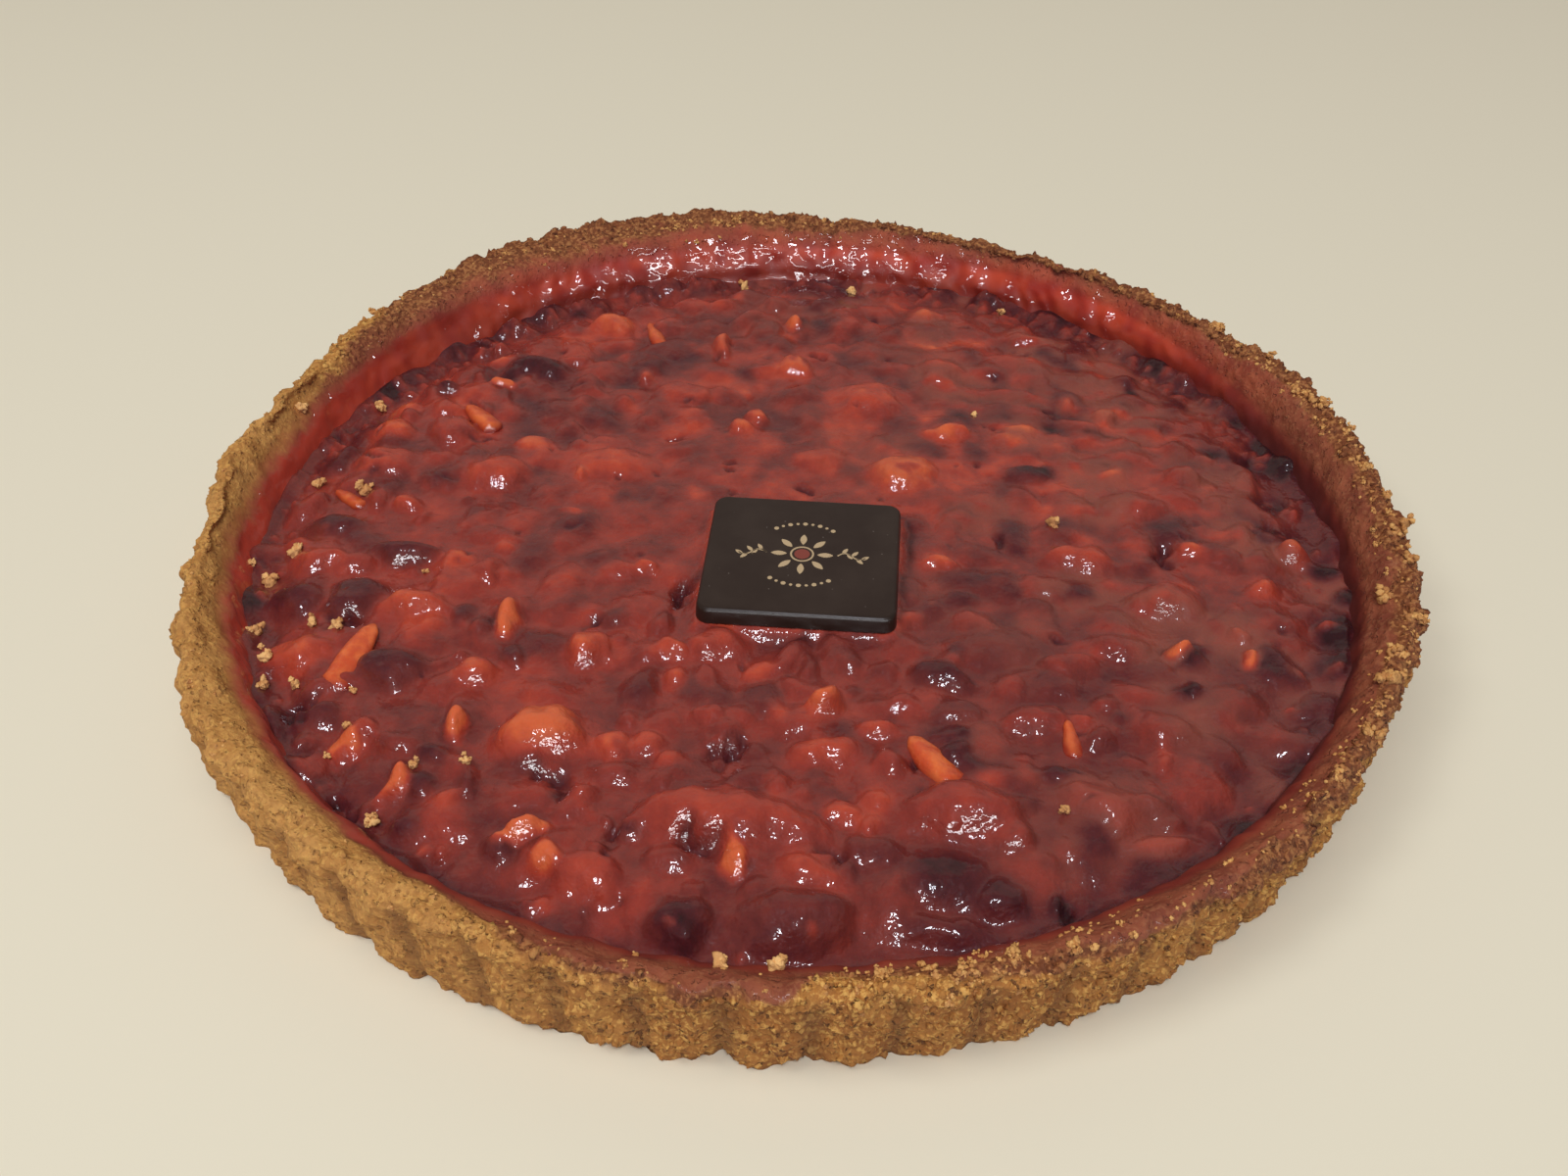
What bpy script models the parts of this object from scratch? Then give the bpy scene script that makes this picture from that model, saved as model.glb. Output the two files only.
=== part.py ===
"""A praline tart: a fluted shortcrust case, a lumpy praline filling and a chocolate plaque.

Metres, +Z up. The tart stands on z = 0 with its centre over the origin, and -Y is its front.
"""

import math
import random

import bmesh
import bpy
from mathutils import Matrix, Vector, noise

MM = 0.001

# Crust
RIM_RADIUS = 120 * MM  # outer edge of the rim, on average
RIM_HEIGHT = 24 * MM
BASE_RADIUS = 117.6 * MM
FLOOR_THICKNESS = 4.5 * MM
FLOOR_RADIUS = 104.5 * MM  # where the inner wall starts
WALL_LEAN = 0.36  # how far the inner wall leans out for each metre of height
WALL_SHIFT = 1.5 * MM  # the wall is thinner on the right than on the left
FRONT_SHIFT = 2 * MM  # and thinner still in front
FLUTES = 58
FLUTE_DEPTH = 2.4 * MM
SEGMENTS_PER_FLUTE = 5
CRAG_SIZE = 7 * MM
CRAG_DEPTH = 0.9 * MM
RIM_SLOPE = 1.8 * MM  # the back of the rim stands this much above the middle
RIM_THINNING = 1.2 * MM  # the rim is this much thinner in front, and thicker at the back
SHOULDER_HEIGHT = 17 * MM  # where the inner wall turns into the rim

# The rim isn't round: (waves round the tart, cosine share, sine share)
RIM_WAVES = ((1, 0.006, 0.0), (2, -0.014, -0.011), (3, 0.019, 0.0), (4, -0.002, 0.012))

# Bulges and dents pressed into the rim: direction and half width in degrees, then millimetres
RIM_BULGES = (
    (176, 5, 2.4), (-171, 5, -1.4), (-15, 6, 1.8), (23, 5, 1.6), (50, 4, 1.3),
    (141, 5, -1.2), (-146, 5, 1.2), (67, 3, 1.1), (100, 5, 0.8), (4, 4, -1.0),
)

# Filling
GAP = 0.3 * MM
FILL_LEVEL = 14 * MM
FILL_EDGE_LEVEL = 10.3 * MM
EDGE_WIDTH = 16 * MM  # the level falls to the wall over this width
FILL_RINGS = 30  # rings of triangles from the middle to the wall
SMALL_MOUND_SPACING = 11 * MM
SMALL_MOUND_RISE = 1.4 * MM
LUMP_RISE = 1.2 * MM  # for each step of rise in the lists below
SEED = 24

# Plaque
PLAQUE_WIDTH = 37.4 * MM
PLAQUE_DEPTH = 35.6 * MM
PLAQUE_THICKNESS = 3.4 * MM
PLAQUE_CORNER = 2.6 * MM
PLAQUE_EDGE = 0.9 * MM
PLAQUE_CENTRE = (2.9 * MM, -17.2 * MM, 18.3 * MM)
PLAQUE_TURN = math.radians(-3)
PLAQUE_TILT = math.radians(1)

# Praline lumps under the glaze, in millimetres and degrees: x, y, length, width, turn, rise
LUMPS = (
    (-94, -27, 12, 9, 0, 3), (-81, -28, 12, 11, 10, 3), (-69, -30, 14, 9, 5, 4),
    (-89, -43, 15, 9, 0, 4), (-70, -47, 16, 10, 10, 3), (-55, -48, 9, 6, 0, 3),
    (-92, -16, 14, 7, 0, 3), (-76, -13, 16, 7, 0, 3), (-58, -19, 8, 9, 0, 3),
    (-65, -65, 12, 7, 0, 2), (-40, -63, 18, 13, 8, 5), (-35, -41, 9, 8, 0, 4),
    (-13, -38, 12, 8, 0, 3), (8, -54, 7, 8, 0, 5), (4, -57, 12, 10, 0, 2),
    (-8, -57, 8, 6, 0, 2), (8, -66, 13, 7, 5, 3), (17, -60, 10, 6, 0, 3),
    (19, -68, 8, 6, 0, 3), (-8, -82, 36, 13, -3, 5), (5, -92, 12, 6, -10, 3),
    (-30, -93, 15, 10, -15, 3), (-14, -101, 10, 10, 0, 4), (-1, -102, 25, 11, 0, 5),
    (31, -78, 24, 12, -3, 5), (38, -83, 9, 7, 0, 3), (53, -75, 17, 9, -15, 3),
    (27, -91, 14, 10, 0, 2), (36, -95, 10, 7, 0, 3), (63, -83, 14, 5, 10, 2),
    (29, -12, 9, 5, 0, 2), (49, -20, 11, 7, 0, 2), (57, -10, 14, 10, 0, 3),
    (72, -23, 15, 10, -8, 4), (61, -36, 13, 9, 0, 3), (51, -42, 12, 9, 0, 3),
    (39, -36, 17, 12, 0, 2), (29, -46, 12, 7, 3, 3), (72, -47, 8, 5, 12, 2),
    (44, -56, 13, 8, 0, 3), (67, -58, 11, 10, -20, 3), (30, -54, 11, 7, 0, 2),
    (-44, 78, 13, 9, -5, 3), (-18, 69, 6, 7, 0, 3), (-1, 60, 10, 8, -10, 3),
    (-59, 57, 16, 10, -5, 3), (-87, 30, 11, 9, 0, 3), (-74, 30, 12, 11, 0, 3),
    (-86, 18, 14, 11, 20, 3), (-97, 21, 12, 9, 60, 3), (-99, 4, 13, 7, 80, 3),
    (-62, 15, 16, 12, 0, 3), (-12, 34, 7, 5, 0, 2), (-25, 48, 13, 9, 0, 2),
    (2, 48, 10, 10, 0, 2), (-91, -4, 16, 8, 0, 2), (34, 59, 13, 14, 0, 3),
    (51, 64, 13, 10, 0, 2), (16, 46, 18, 15, 0, 3), (34, 33, 10, 6, 0, 3),
    (49, 34, 11, 8, 0, 2), (23, 18, 15, 12, 0, 4), (7, 23, 14, 10, 0, 2),
    (51, 19, 13, 8, 0, 2), (82, 19, 11, 9, 0, 3), (70, 8, 16, 11, 0, 3),
    (101, -6, 8, 8, 0, 4), (-38, 19, 22, 12, 0, 2),
)

# Nut pieces that stand bare of the glaze, in the same form
BARE_NUTS = (
    (-78, -44, 17, 5, 76, 5), (26, -67, 13, 5, -54, 5), (50, -61, 8, 4, -85, 5),
    (-69, 36, 12, 5, -48, 4), (-91, 6, 9, 4, -38, 4), (-34, 74, 11, 4, -69, 4),
    (-51, -33, 10, 6, 85, 5), (-55, -62, 7, 5, 110, 5), (-7, -90, 9, 5, 95, 4),
    (-37, -91, 7, 6, 20, 4), (72, -37, 7, 6, 30, 4), (-41, -84, 10, 6, 10, 4),
    (-75, -66, 7, 6, 0, 4), (-64, -75, 6, 5, 60, 4), (-66, 50, 8, 5, 0, 4),
    (-78, 47, 8, 5, 10, 4), (-1, 79, 6, 5, 0, 4), (85, -39, 11, 5, -79, 3),
)

# Hollows between the pieces: x, y, length, width, turn, depth
HOLLOWS = (
    (-85, -56, 8, 5, 5, 3), (-71, -79, 8, 5, -30, 4), (-20, -23, 5, 7, 0, 4),
    (-9, -65, 7, 6, 0, 4), (-38, -73, 7, 5, -20, 3), (-12, -88, 9, 5, 5, 4),
    (9, -88, 8, 5, 0, 3), (-26, -84, 5, 8, 10, 3), (-81, -35, 11, 4, 10, 4),
    (99, 14, 12, 9, 70, 3), (74, -8, 6, 6, 0, 3), (6, 65, 5, 6, 0, 3),
    (46, -97, 7, 4, 20, 3), (-22, -104, 6, 4, 0, 2),
)


def clear_scene():
    for old in list(bpy.data.objects):
        bpy.data.objects.remove(old)


def new_collection(name):
    collection = bpy.data.collections.new(name)
    bpy.context.scene.collection.children.link(collection)
    return collection


def material(name, colour, roughness):
    made = bpy.data.materials.new(name)
    made.use_nodes = True
    shader = made.node_tree.nodes["Principled BSDF"]
    shader.inputs["Base Color"].default_value = (*colour, 1)
    shader.inputs["Roughness"].default_value = roughness
    shader.inputs["Metallic"].default_value = 0
    return made


def object_from_bmesh(name, bm, collection, finish=None):
    mesh = bpy.data.meshes.new(name)
    bm.to_mesh(mesh)
    bm.free()
    made = bpy.data.objects.new(name, mesh)
    collection.objects.link(made)
    if finish:
        mesh.materials.append(finish)
    return made


def apply_modifiers(obj):
    graph = bpy.context.evaluated_depsgraph_get()
    mesh = bpy.data.meshes.new_from_object(obj.evaluated_get(graph))
    obj.modifiers.clear()
    obj.data = mesh


def face_outward(bm):
    bmesh.ops.recalc_face_normals(bm, faces=bm.faces[:])
    if bm.calc_volume(signed=True) < 0:
        bmesh.ops.reverse_faces(bm, faces=bm.faces[:])


def smooth_step(low, high, value):
    share = min(max((value - low) / (high - low), 0), 1)
    return share * share * (3 - 2 * share)


def crag(place, size):
    """Uneven relief from -1 to 1 with bumps of about this size."""
    return noise.noise(place / size) + 0.5 * noise.noise(place * 2.3 / size)


# Crust


def rim_wave(angle):
    return sum(
        cosine * math.cos(waves * angle) + sine * math.sin(waves * angle)
        for waves, cosine, sine in RIM_WAVES
    )


def rim_bulge(angle):
    push = 0
    for direction, half_width, amount in RIM_BULGES:
        turn = (math.degrees(angle) - direction + 180) % 360 - 180
        push += amount * MM * math.exp(-((turn / half_width) ** 2))
    return push


def flute(angle):
    """From 0 in a crease to 1 on top of a flute."""
    return abs(math.sin(FLUTES * angle / 2)) ** 0.7


def wall_shift(angle):
    """How far the inner wall stands out from its round form."""
    return WALL_SHIFT * math.cos(angle) + FRONT_SHIFT * max(-math.sin(angle), 0) ** 2


def wall_radius(angle, height):
    """The crust's inner wall below the shoulder of the rim."""
    return FLOOR_RADIUS + WALL_LEAN * (height - FLOOR_THICKNESS) + wall_shift(angle)


def crust_profile():
    """Half a section of the case: along the floor, up the inner wall, over the rim, down outside."""
    lean = WALL_LEAN * (SHOULDER_HEIGHT - FLOOR_THICKNESS)
    return (
        (0, FLOOR_THICKNESS),
        (FLOOR_RADIUS, FLOOR_THICKNESS),
        (FLOOR_RADIUS + lean, SHOULDER_HEIGHT),
        (RIM_RADIUS - 9 * MM, RIM_HEIGHT - 3.5 * MM),
        (RIM_RADIUS - 6.8 * MM, RIM_HEIGHT - 1.2 * MM),
        (RIM_RADIUS - 3.8 * MM, RIM_HEIGHT),
        (RIM_RADIUS - 1.2 * MM, RIM_HEIGHT - 0.5 * MM),
        (RIM_RADIUS, RIM_HEIGHT - 3.5 * MM),
        (BASE_RADIUS, 3 * MM),
        (BASE_RADIUS - 1 * MM, 0),
        (0, 0),
    )


def crust_point(place):
    """Moves a point of the round case to its place on the fluted, uneven one."""
    radius = math.hypot(place.x, place.y)
    angle = math.atan2(place.y, place.x)
    height = place.z
    outside = smooth_step(RIM_RADIUS - 8 * MM, RIM_RADIUS - 3 * MM, radius)
    upper = smooth_step(6 * MM, RIM_HEIGHT, height)
    if outside:
        depth = FLUTE_DEPTH * (1 - 0.6 * upper) * (flute(angle) - 0.65)
        shape = (RIM_RADIUS * rim_wave(angle) + rim_bulge(angle)) * (0.4 + 0.6 * upper)
        rough = CRAG_DEPTH * crag(place, CRAG_SIZE)
        radius += outside * (depth + shape + rough)
    if place.xy.length > FLOOR_RADIUS / 2:
        radius += (1 - outside) * wall_shift(angle)
        crest = smooth_step(SHOULDER_HEIGHT, RIM_HEIGHT - 3 * MM, height)
        inside = 1 - smooth_step(RIM_RADIUS - 4 * MM, RIM_RADIUS - MM, place.xy.length)
        radius -= crest * inside * RIM_THINNING * math.sin(angle)
    lift = RIM_SLOPE * math.sin(angle) + CRAG_DEPTH * crag(place, 2 * CRAG_SIZE)
    height += smooth_step(SHOULDER_HEIGHT, RIM_HEIGHT, height) * lift
    return Vector((radius * math.cos(angle), radius * math.sin(angle), height))


def make_crust(collection):
    bm = bmesh.new()
    rings = [bm.verts.new((radius, 0, height)) for radius, height in crust_profile()]
    for low, high in zip(rings, rings[1:]):
        bm.edges.new((low, high))
    finish = material("baked_shortcrust", (0.36, 0.17, 0.06), 0.8)
    crust = object_from_bmesh("crust", bm, collection, finish)
    screw = crust.modifiers.new("Screw", "SCREW")
    screw.steps = FLUTES * SEGMENTS_PER_FLUTE
    screw.render_steps = screw.steps
    screw.use_merge_vertices = True
    screw.merge_threshold = 0.00001
    apply_modifiers(crust)
    for vertex in crust.data.vertices:
        vertex.co = crust_point(vertex.co)
    crust.data.shade_smooth()
    return crust


# Filling


def inside_lump(x, y, lump):
    """Squared distance from a lump's middle, 1 at its outline."""
    across, along = x - lump[0] * MM, y - lump[1] * MM
    turn = math.radians(lump[4])
    u = across * math.cos(turn) + along * math.sin(turn)
    v = along * math.cos(turn) - across * math.sin(turn)
    return (2 * u / (lump[2] * MM)) ** 2 + (2 * v / (lump[3] * MM)) ** 2


def small_mounds():
    """Low mounds on an uneven grid, wherever no named lump lies."""
    draw = random.Random(SEED)
    steps = range(-int(RIM_RADIUS / SMALL_MOUND_SPACING), int(RIM_RADIUS / SMALL_MOUND_SPACING) + 1)
    mounds = []
    for row in steps:
        for column in steps:
            x = (column + row % 2 / 2 + draw.uniform(-0.3, 0.3)) * SMALL_MOUND_SPACING / MM
            y = (row * 0.9 + draw.uniform(-0.3, 0.3)) * SMALL_MOUND_SPACING / MM
            length = draw.uniform(8, 15)
            width = draw.uniform(6, 10)
            turn = draw.uniform(0, 180)
            rise = draw.uniform(0.4, 1) * SMALL_MOUND_RISE / LUMP_RISE
            if all(inside_lump(x * MM, y * MM, lump) > 1 for lump in LUMPS):
                mounds.append((x, y, length, width, turn, rise))
    return mounds


def fill_height(x, y, mounds):
    """The glazed top of the filling: a dished level, lumps that stand up and hollows between."""
    radius = math.hypot(x, y)
    edge = wall_radius(math.atan2(y, x), FILL_EDGE_LEVEL)
    fall = smooth_step(edge - EDGE_WIDTH, edge, radius)
    level = FILL_LEVEL - (FILL_LEVEL - FILL_EDGE_LEVEL) * fall
    rise = 0
    for lump in mounds:
        away = inside_lump(x, y, lump)
        if away < 1.6:
            rise = max(rise, lump[5] * LUMP_RISE * (1 - away / 1.6) ** 0.6)
    for hollow in HOLLOWS:
        away = inside_lump(x, y, hollow)
        rise -= hollow[5] * MM * math.exp(-away)
    return level + rise * (1 - 0.7 * smooth_step(edge - 3 * MM, edge, radius))


def hexagon_edge(angle):
    """How far out a hexagon of radius 1 with two flats across X reaches in this direction."""
    half_side = math.pi / 6
    return math.cos(half_side) / math.cos((angle + half_side) % (2 * half_side) - half_side)


def under_plaque(x, y):
    """The plaque's underside over this point, or None beside it."""
    away = plaque_matrix().inverted() @ Vector((x, y, PLAQUE_CENTRE[2]))
    margin = 1.5 * MM
    if abs(away.x) > PLAQUE_WIDTH / 2 + margin or abs(away.y) > PLAQUE_DEPTH / 2 + margin:
        return None
    return (plaque_matrix() @ Vector((away.x, away.y, -PLAQUE_THICKNESS / 2))).z


def make_glaze(collection, finish):
    """The filling's body: an even net of triangles over the top, a leaning side and a flat underside."""
    bm = bmesh.new()
    bmesh.ops.create_circle(bm, cap_ends=True, cap_tris=True, segments=6, radius=1)
    bmesh.ops.subdivide_edges(bm, edges=bm.edges[:], cuts=FILL_RINGS - 1, use_grid_fill=True)
    bmesh.ops.triangulate(bm, faces=bm.faces[:])
    mounds = list(LUMPS) + small_mounds()
    for vertex in bm.verts:
        angle = math.atan2(vertex.co.y, vertex.co.x)
        share = vertex.co.to_2d().length / hexagon_edge(angle)
        radius = share * wall_radius(angle, FILL_EDGE_LEVEL)
        height = fill_height(radius * math.cos(angle), radius * math.sin(angle), mounds)
        radius = share * (wall_radius(angle, height) - GAP)
        x, y = radius * math.cos(angle), radius * math.sin(angle)
        ceiling = under_plaque(x, y)
        if ceiling is not None:
            height = min(height, ceiling - 2 * GAP)
        vertex.co = (x, y, height)
    side = [edge for edge in bm.edges if edge.is_boundary]
    lower = bmesh.ops.extrude_edge_only(bm, edges=side)["geom"]
    for vertex in (item for item in lower if isinstance(item, bmesh.types.BMVert)):
        angle = math.atan2(vertex.co.y, vertex.co.x)
        height = FLOOR_THICKNESS + GAP
        radius = wall_radius(angle, height) - GAP
        vertex.co = (radius * math.cos(angle), radius * math.sin(angle), height)
    bmesh.ops.holes_fill(bm, edges=[edge for edge in bm.edges if edge.is_boundary])
    face_outward(bm)
    return object_from_bmesh("filling", bm, collection, finish)


def make_nut(nut, mounds, collection):
    """One nut piece, half sunk in the glaze: a few-sided pebble, longer than it is wide."""
    x, y, length, width, turn, rise = nut
    bm = bmesh.new()
    bmesh.ops.create_icosphere(bm, subdivisions=2, radius=0.5)
    for vertex in bm.verts:
        vertex.co *= 1 + 0.12 * noise.noise(vertex.co * 4 + Vector((x, y, 0)))
    depth = 2 * min(rise, width)
    bmesh.ops.scale(bm, verts=bm.verts[:], vec=Vector((length, width, depth)) * MM)
    made = object_from_bmesh("nut", bm, collection)
    level = fill_height(x * MM, y * MM, mounds)
    middle = level + (rise - depth / 2 - 0.5) * MM
    made.matrix_world = Matrix.Translation((x * MM, y * MM, middle)) @ Matrix.Rotation(
        math.radians(turn), 4, "Z"
    )
    return made


def make_filling(collection):
    finish = material("praline_filling", (0.26, 0.045, 0.03), 0.3)
    filling = make_glaze(collection, finish)
    nuts = new_collection("nuts")
    mounds = list(LUMPS) + small_mounds()
    for nut in BARE_NUTS:
        make_nut(nut, mounds, nuts)
    join = filling.modifiers.new("Join", "BOOLEAN")
    join.operation = "UNION"
    join.operand_type = "COLLECTION"
    join.collection = nuts
    join.solver = "MANIFOLD"
    bpy.context.view_layer.update()
    apply_modifiers(filling)
    for nut in list(nuts.objects):
        bpy.data.objects.remove(nut)
    bpy.data.collections.remove(nuts)
    filling.data.shade_smooth()
    return filling


# Plaque


def plaque_matrix():
    place = Matrix.Translation(PLAQUE_CENTRE)
    return place @ Matrix.Rotation(PLAQUE_TURN, 4, "Z") @ Matrix.Rotation(PLAQUE_TILT, 4, "X")


def make_plaque(collection):
    """A thin moulded slab with round corners and a softened upper edge."""
    bm = bmesh.new()
    bmesh.ops.create_cube(bm, size=1)
    size = Vector((PLAQUE_WIDTH, PLAQUE_DEPTH, PLAQUE_THICKNESS))
    bmesh.ops.scale(bm, verts=bm.verts[:], vec=size)
    corners = [edge for edge in bm.edges if abs(edge.verts[0].co.z - edge.verts[1].co.z) > MM]
    bmesh.ops.bevel(
        bm, geom=corners, offset=PLAQUE_CORNER, segments=5, affect="EDGES", profile=0.5
    )
    top = [edge for edge in bm.edges if all(vertex.co.z > MM for vertex in edge.verts)]
    bmesh.ops.bevel(bm, geom=top, offset=PLAQUE_EDGE, segments=3, affect="EDGES", profile=0.5)
    finish = material("dark_chocolate", (0.035, 0.022, 0.018), 0.35)
    plaque = object_from_bmesh("plaque", bm, collection, finish)
    plaque.matrix_world = plaque_matrix()
    plaque.data.shade_smooth()
    plaque.data.set_sharp_from_angle(angle=math.radians(40))
    return plaque


def main():
    clear_scene()
    tart = new_collection("praline_tart")
    make_crust(tart)
    make_filling(tart)
    make_plaque(tart)


main()
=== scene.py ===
"""The looks of a praline tart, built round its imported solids.

Lengths are in millimetres until a mesh is made, in the solids' frame: +Z up, -Y to the front.
Directions round the tart are in degrees from +X, so the front is -90.
"""

import math
import random

import bmesh
import bpy
import numpy as np
from mathutils import Matrix, Vector, noise
from mathutils.bvhtree import BVHTree

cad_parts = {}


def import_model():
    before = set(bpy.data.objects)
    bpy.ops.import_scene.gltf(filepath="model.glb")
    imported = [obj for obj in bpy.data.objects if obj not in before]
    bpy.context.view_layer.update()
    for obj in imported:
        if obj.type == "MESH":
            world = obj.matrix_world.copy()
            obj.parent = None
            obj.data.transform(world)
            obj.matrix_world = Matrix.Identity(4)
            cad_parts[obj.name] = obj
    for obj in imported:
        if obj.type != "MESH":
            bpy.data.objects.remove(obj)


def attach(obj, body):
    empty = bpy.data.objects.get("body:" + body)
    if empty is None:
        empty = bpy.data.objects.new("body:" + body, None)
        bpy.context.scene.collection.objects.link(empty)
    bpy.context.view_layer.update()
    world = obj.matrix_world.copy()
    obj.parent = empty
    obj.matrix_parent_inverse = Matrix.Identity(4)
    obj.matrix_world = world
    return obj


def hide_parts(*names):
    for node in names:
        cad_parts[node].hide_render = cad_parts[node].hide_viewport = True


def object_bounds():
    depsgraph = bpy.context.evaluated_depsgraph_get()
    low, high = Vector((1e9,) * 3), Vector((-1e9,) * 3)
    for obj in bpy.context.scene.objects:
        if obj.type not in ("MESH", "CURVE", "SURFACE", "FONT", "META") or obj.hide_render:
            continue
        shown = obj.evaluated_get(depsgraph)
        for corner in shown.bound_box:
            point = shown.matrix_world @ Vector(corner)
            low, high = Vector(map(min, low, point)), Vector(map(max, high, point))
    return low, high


METRES = 0.001
TAU = 2 * math.pi
BOX_MARGIN = 0.2  # small bodies stay this far inside the solids' box

# Camera: where the photograph was taken from
CAMERA_PLACE = (4.95, -254.72, 203.89)
CAMERA_RIGHT = (0.99953, 0.02964, 0.00834)
CAMERA_UP = (-0.02513, 0.62882, 0.77714)
LENS = 36
SENSOR = 36

# Stage, in metres
FLOOR_REACH = 3
MIDDLE = (0, 0, 0)

# Crust, as in the solids
RIM_RADIUS = 120
RIM_HEIGHT = 24
BASE_RADIUS = 117.6
FLOOR_THICKNESS = 4.5
FLOOR_RADIUS = 104.5
WALL_LEAN = 0.36
WALL_SHIFT = 1.5
FRONT_SHIFT = 2
FLUTES = 58
FLUTE_DEPTH = 2.4
CRAG_SIZE = 7
CRAG_DEPTH = 0.9
RIM_SLOPE = 1.8
RIM_THINNING = 1.2
SHOULDER_HEIGHT = 17
RIM_WAVES = ((1, 0.006, 0.0), (2, -0.014, -0.011), (3, 0.019, 0.0), (4, -0.002, 0.012))
RIM_BULGES = (
    (176, 5, 2.4), (-171, 5, -1.4), (-15, 6, 1.8), (23, 5, 1.6), (50, 4, 1.3),
    (141, 5, -1.2), (-146, 5, 1.2), (67, 3, 1.1), (100, 5, 0.8), (4, 4, -1.0),
)

# Crust, finer than the solids
FLUTE_SOFTNESS = 1.2  # higher is rounder on top and sharper in the creases
STEPS_PER_FLUTE = 20
PROFILE_STEP = 0.66
FLUTE_UNEVENNESS = 12  # flutes lean and swell over about this length
LUMP_RELIEF = 0.8  # soft lumps of LUMP_SIZE all over the outside
LUMP_SIZE = 5
GRAIN_RELIEF = 1.1  # crumbly relief of GRAIN_SIZE
GRAIN_SIZE = 1.9
PORE_DEPTH = 1.0
PORE_SIZE = 2.8
WALL_RELIEF = 0.5  # the glazed inner wall is smoother
GRAINS = 9500  # crumbs baked onto the outside
GRAIN_SIZES = (0.7, 0.8, 0.9, 1.0, 1.2, 1.4, 1.8)

# What the crust's material reads at each point, from 0 to 1: glazed, soaked, under a thin film,
# in a crease, deep in the case, glossy, over the rim and palest; the crease and deep layers are
# painted shade, and the pale one also paints light on the left inner wall's glaze
CRUST_LAYERS = ("glaze", "soak", "film", "crease", "deep", "gloss", "over", "pale")
PALEST = math.radians(-155)  # where the case is palest

# Distances along the crust's section, from the foot of the inner wall
WALL_END = 18
RIDGE = ((8.5, 12.5), (17.5, 13.5))  # a swelling of the wall at the back rises and falls here
ON_RIM = (15, 19)
ROUGH_FROM = (18, 24)
CREASED_FROM = (27, 33)

# How far the red glaze climbs over the rim, measured along the crust's section from the foot of
# the inner wall: (direction, reach)
GLAZE_REACH = (
    (-180, 15), (-150, 15.5), (-125, 17), (-112, 19), (-106, 23), (-100, 25), (-94, 25.5),
    (-91, 29), (-88, 25), (-86, 19), (-78, 19), (-73, 20), (-68, 24), (-65, 26), (-62, 29.5),
    (-59, 26), (-55.5, 29), (-52, 26), (-47, 24), (-38, 22), (0, 20), (25, 20.5), (60, 21),
    (90, 21), (120, 21), (140, 19.5), (153, 18), (168, 15.5),
)
# How far the crust is soaked and baked red-brown, in the same form
SOAK_REACH = (
    (-180, 12), (-150, 13), (-125, 17), (-112, 20), (-106, 26), (-91, 30), (-86, 21),
    (-79, 22), (-74, 27), (-67, 29), (-50, 31), (-30, 30), (0, 32), (35, 32), (60, 31), (95, 32),
    (120, 30), (140, 27), (155, 20), (168, 14),
)

# Filling, as in the solids
FILL_LEVEL = 14
FILL_EDGE_LEVEL = 10.3
EDGE_WIDTH = 16
SMALL_MOUND_SPACING = 11
LUMP_RISE = 1.2  # for each step of rise in the lists below
SEED = 24

# Filling, finer than the solids
FILL_RINGS = 176
GRID_STEP = 0.5  # its land is worked out on an even grid, from which the mesh is read
GRID_HALF = 117
WALL_OVERLAP = 3.2  # the filling reaches this far into the wall
FACETED_BELOW = 16  # shorter pieces have flat facets, as cut nuts do
OUTLINE_WARP = 1.4  # pushes the pieces' outlines out of round
POOL_REACH = 4  # the glaze lies round the pieces at their mean level over this distance
FACETS = 2
FACET_SLOPES = (0.15, 0.6)
MOUND_RISE = 2.6
MOUND_LENGTHS, MOUND_WIDTHS = (8, 15), (6, 10)
MOUND_TONES = (0.28, 0.4, 0.48, 0.54, 0.62)
CHIPS = 340  # small nut chips scattered under the glaze
CHIP_SIZES = (2.2, 2.8, 3.4, 4, 5, 6)
CHIP_TONES = (0.25, 0.36, 0.44, 0.5, 0.56, 0.64, 0.82)
CHIP_REACH = 104  # chips and specks lie this near the middle
PITS = 90  # small gaps, painted dark as shade
PIT_REACH = 100
PIT_LENGTHS, PIT_WIDTHS, PIT_DEPTHS = (2.2, 4.5), (1.6, 2.6), (1, 2.2)
SPECKS = 130  # small lumps of glaze all over the filling
SPECK_SIZES = (1.3, 2.8)
BUBBLES = 380  # beads of glaze along the wall
BUBBLE_SIZES = (1.6, 3.8)
BUBBLE_TONES = (0.34, 0.58)
BUBBLES_ROUND = (-60, 290, 125)  # directions: from, to, most often
BUBBLES_BACK = (15, 165)
MENISCUS_RISE = 1.5  # the glaze climbs the wall
MENISCUS_WIDTH = 1.8
CALM_CENTRE = (-8, 10)  # the glaze is smoothest here, by the plaque
CALM_REACH = (46, 34)
FOLD_SPACING = 7.5  # slack folds in the glaze's skin

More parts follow.
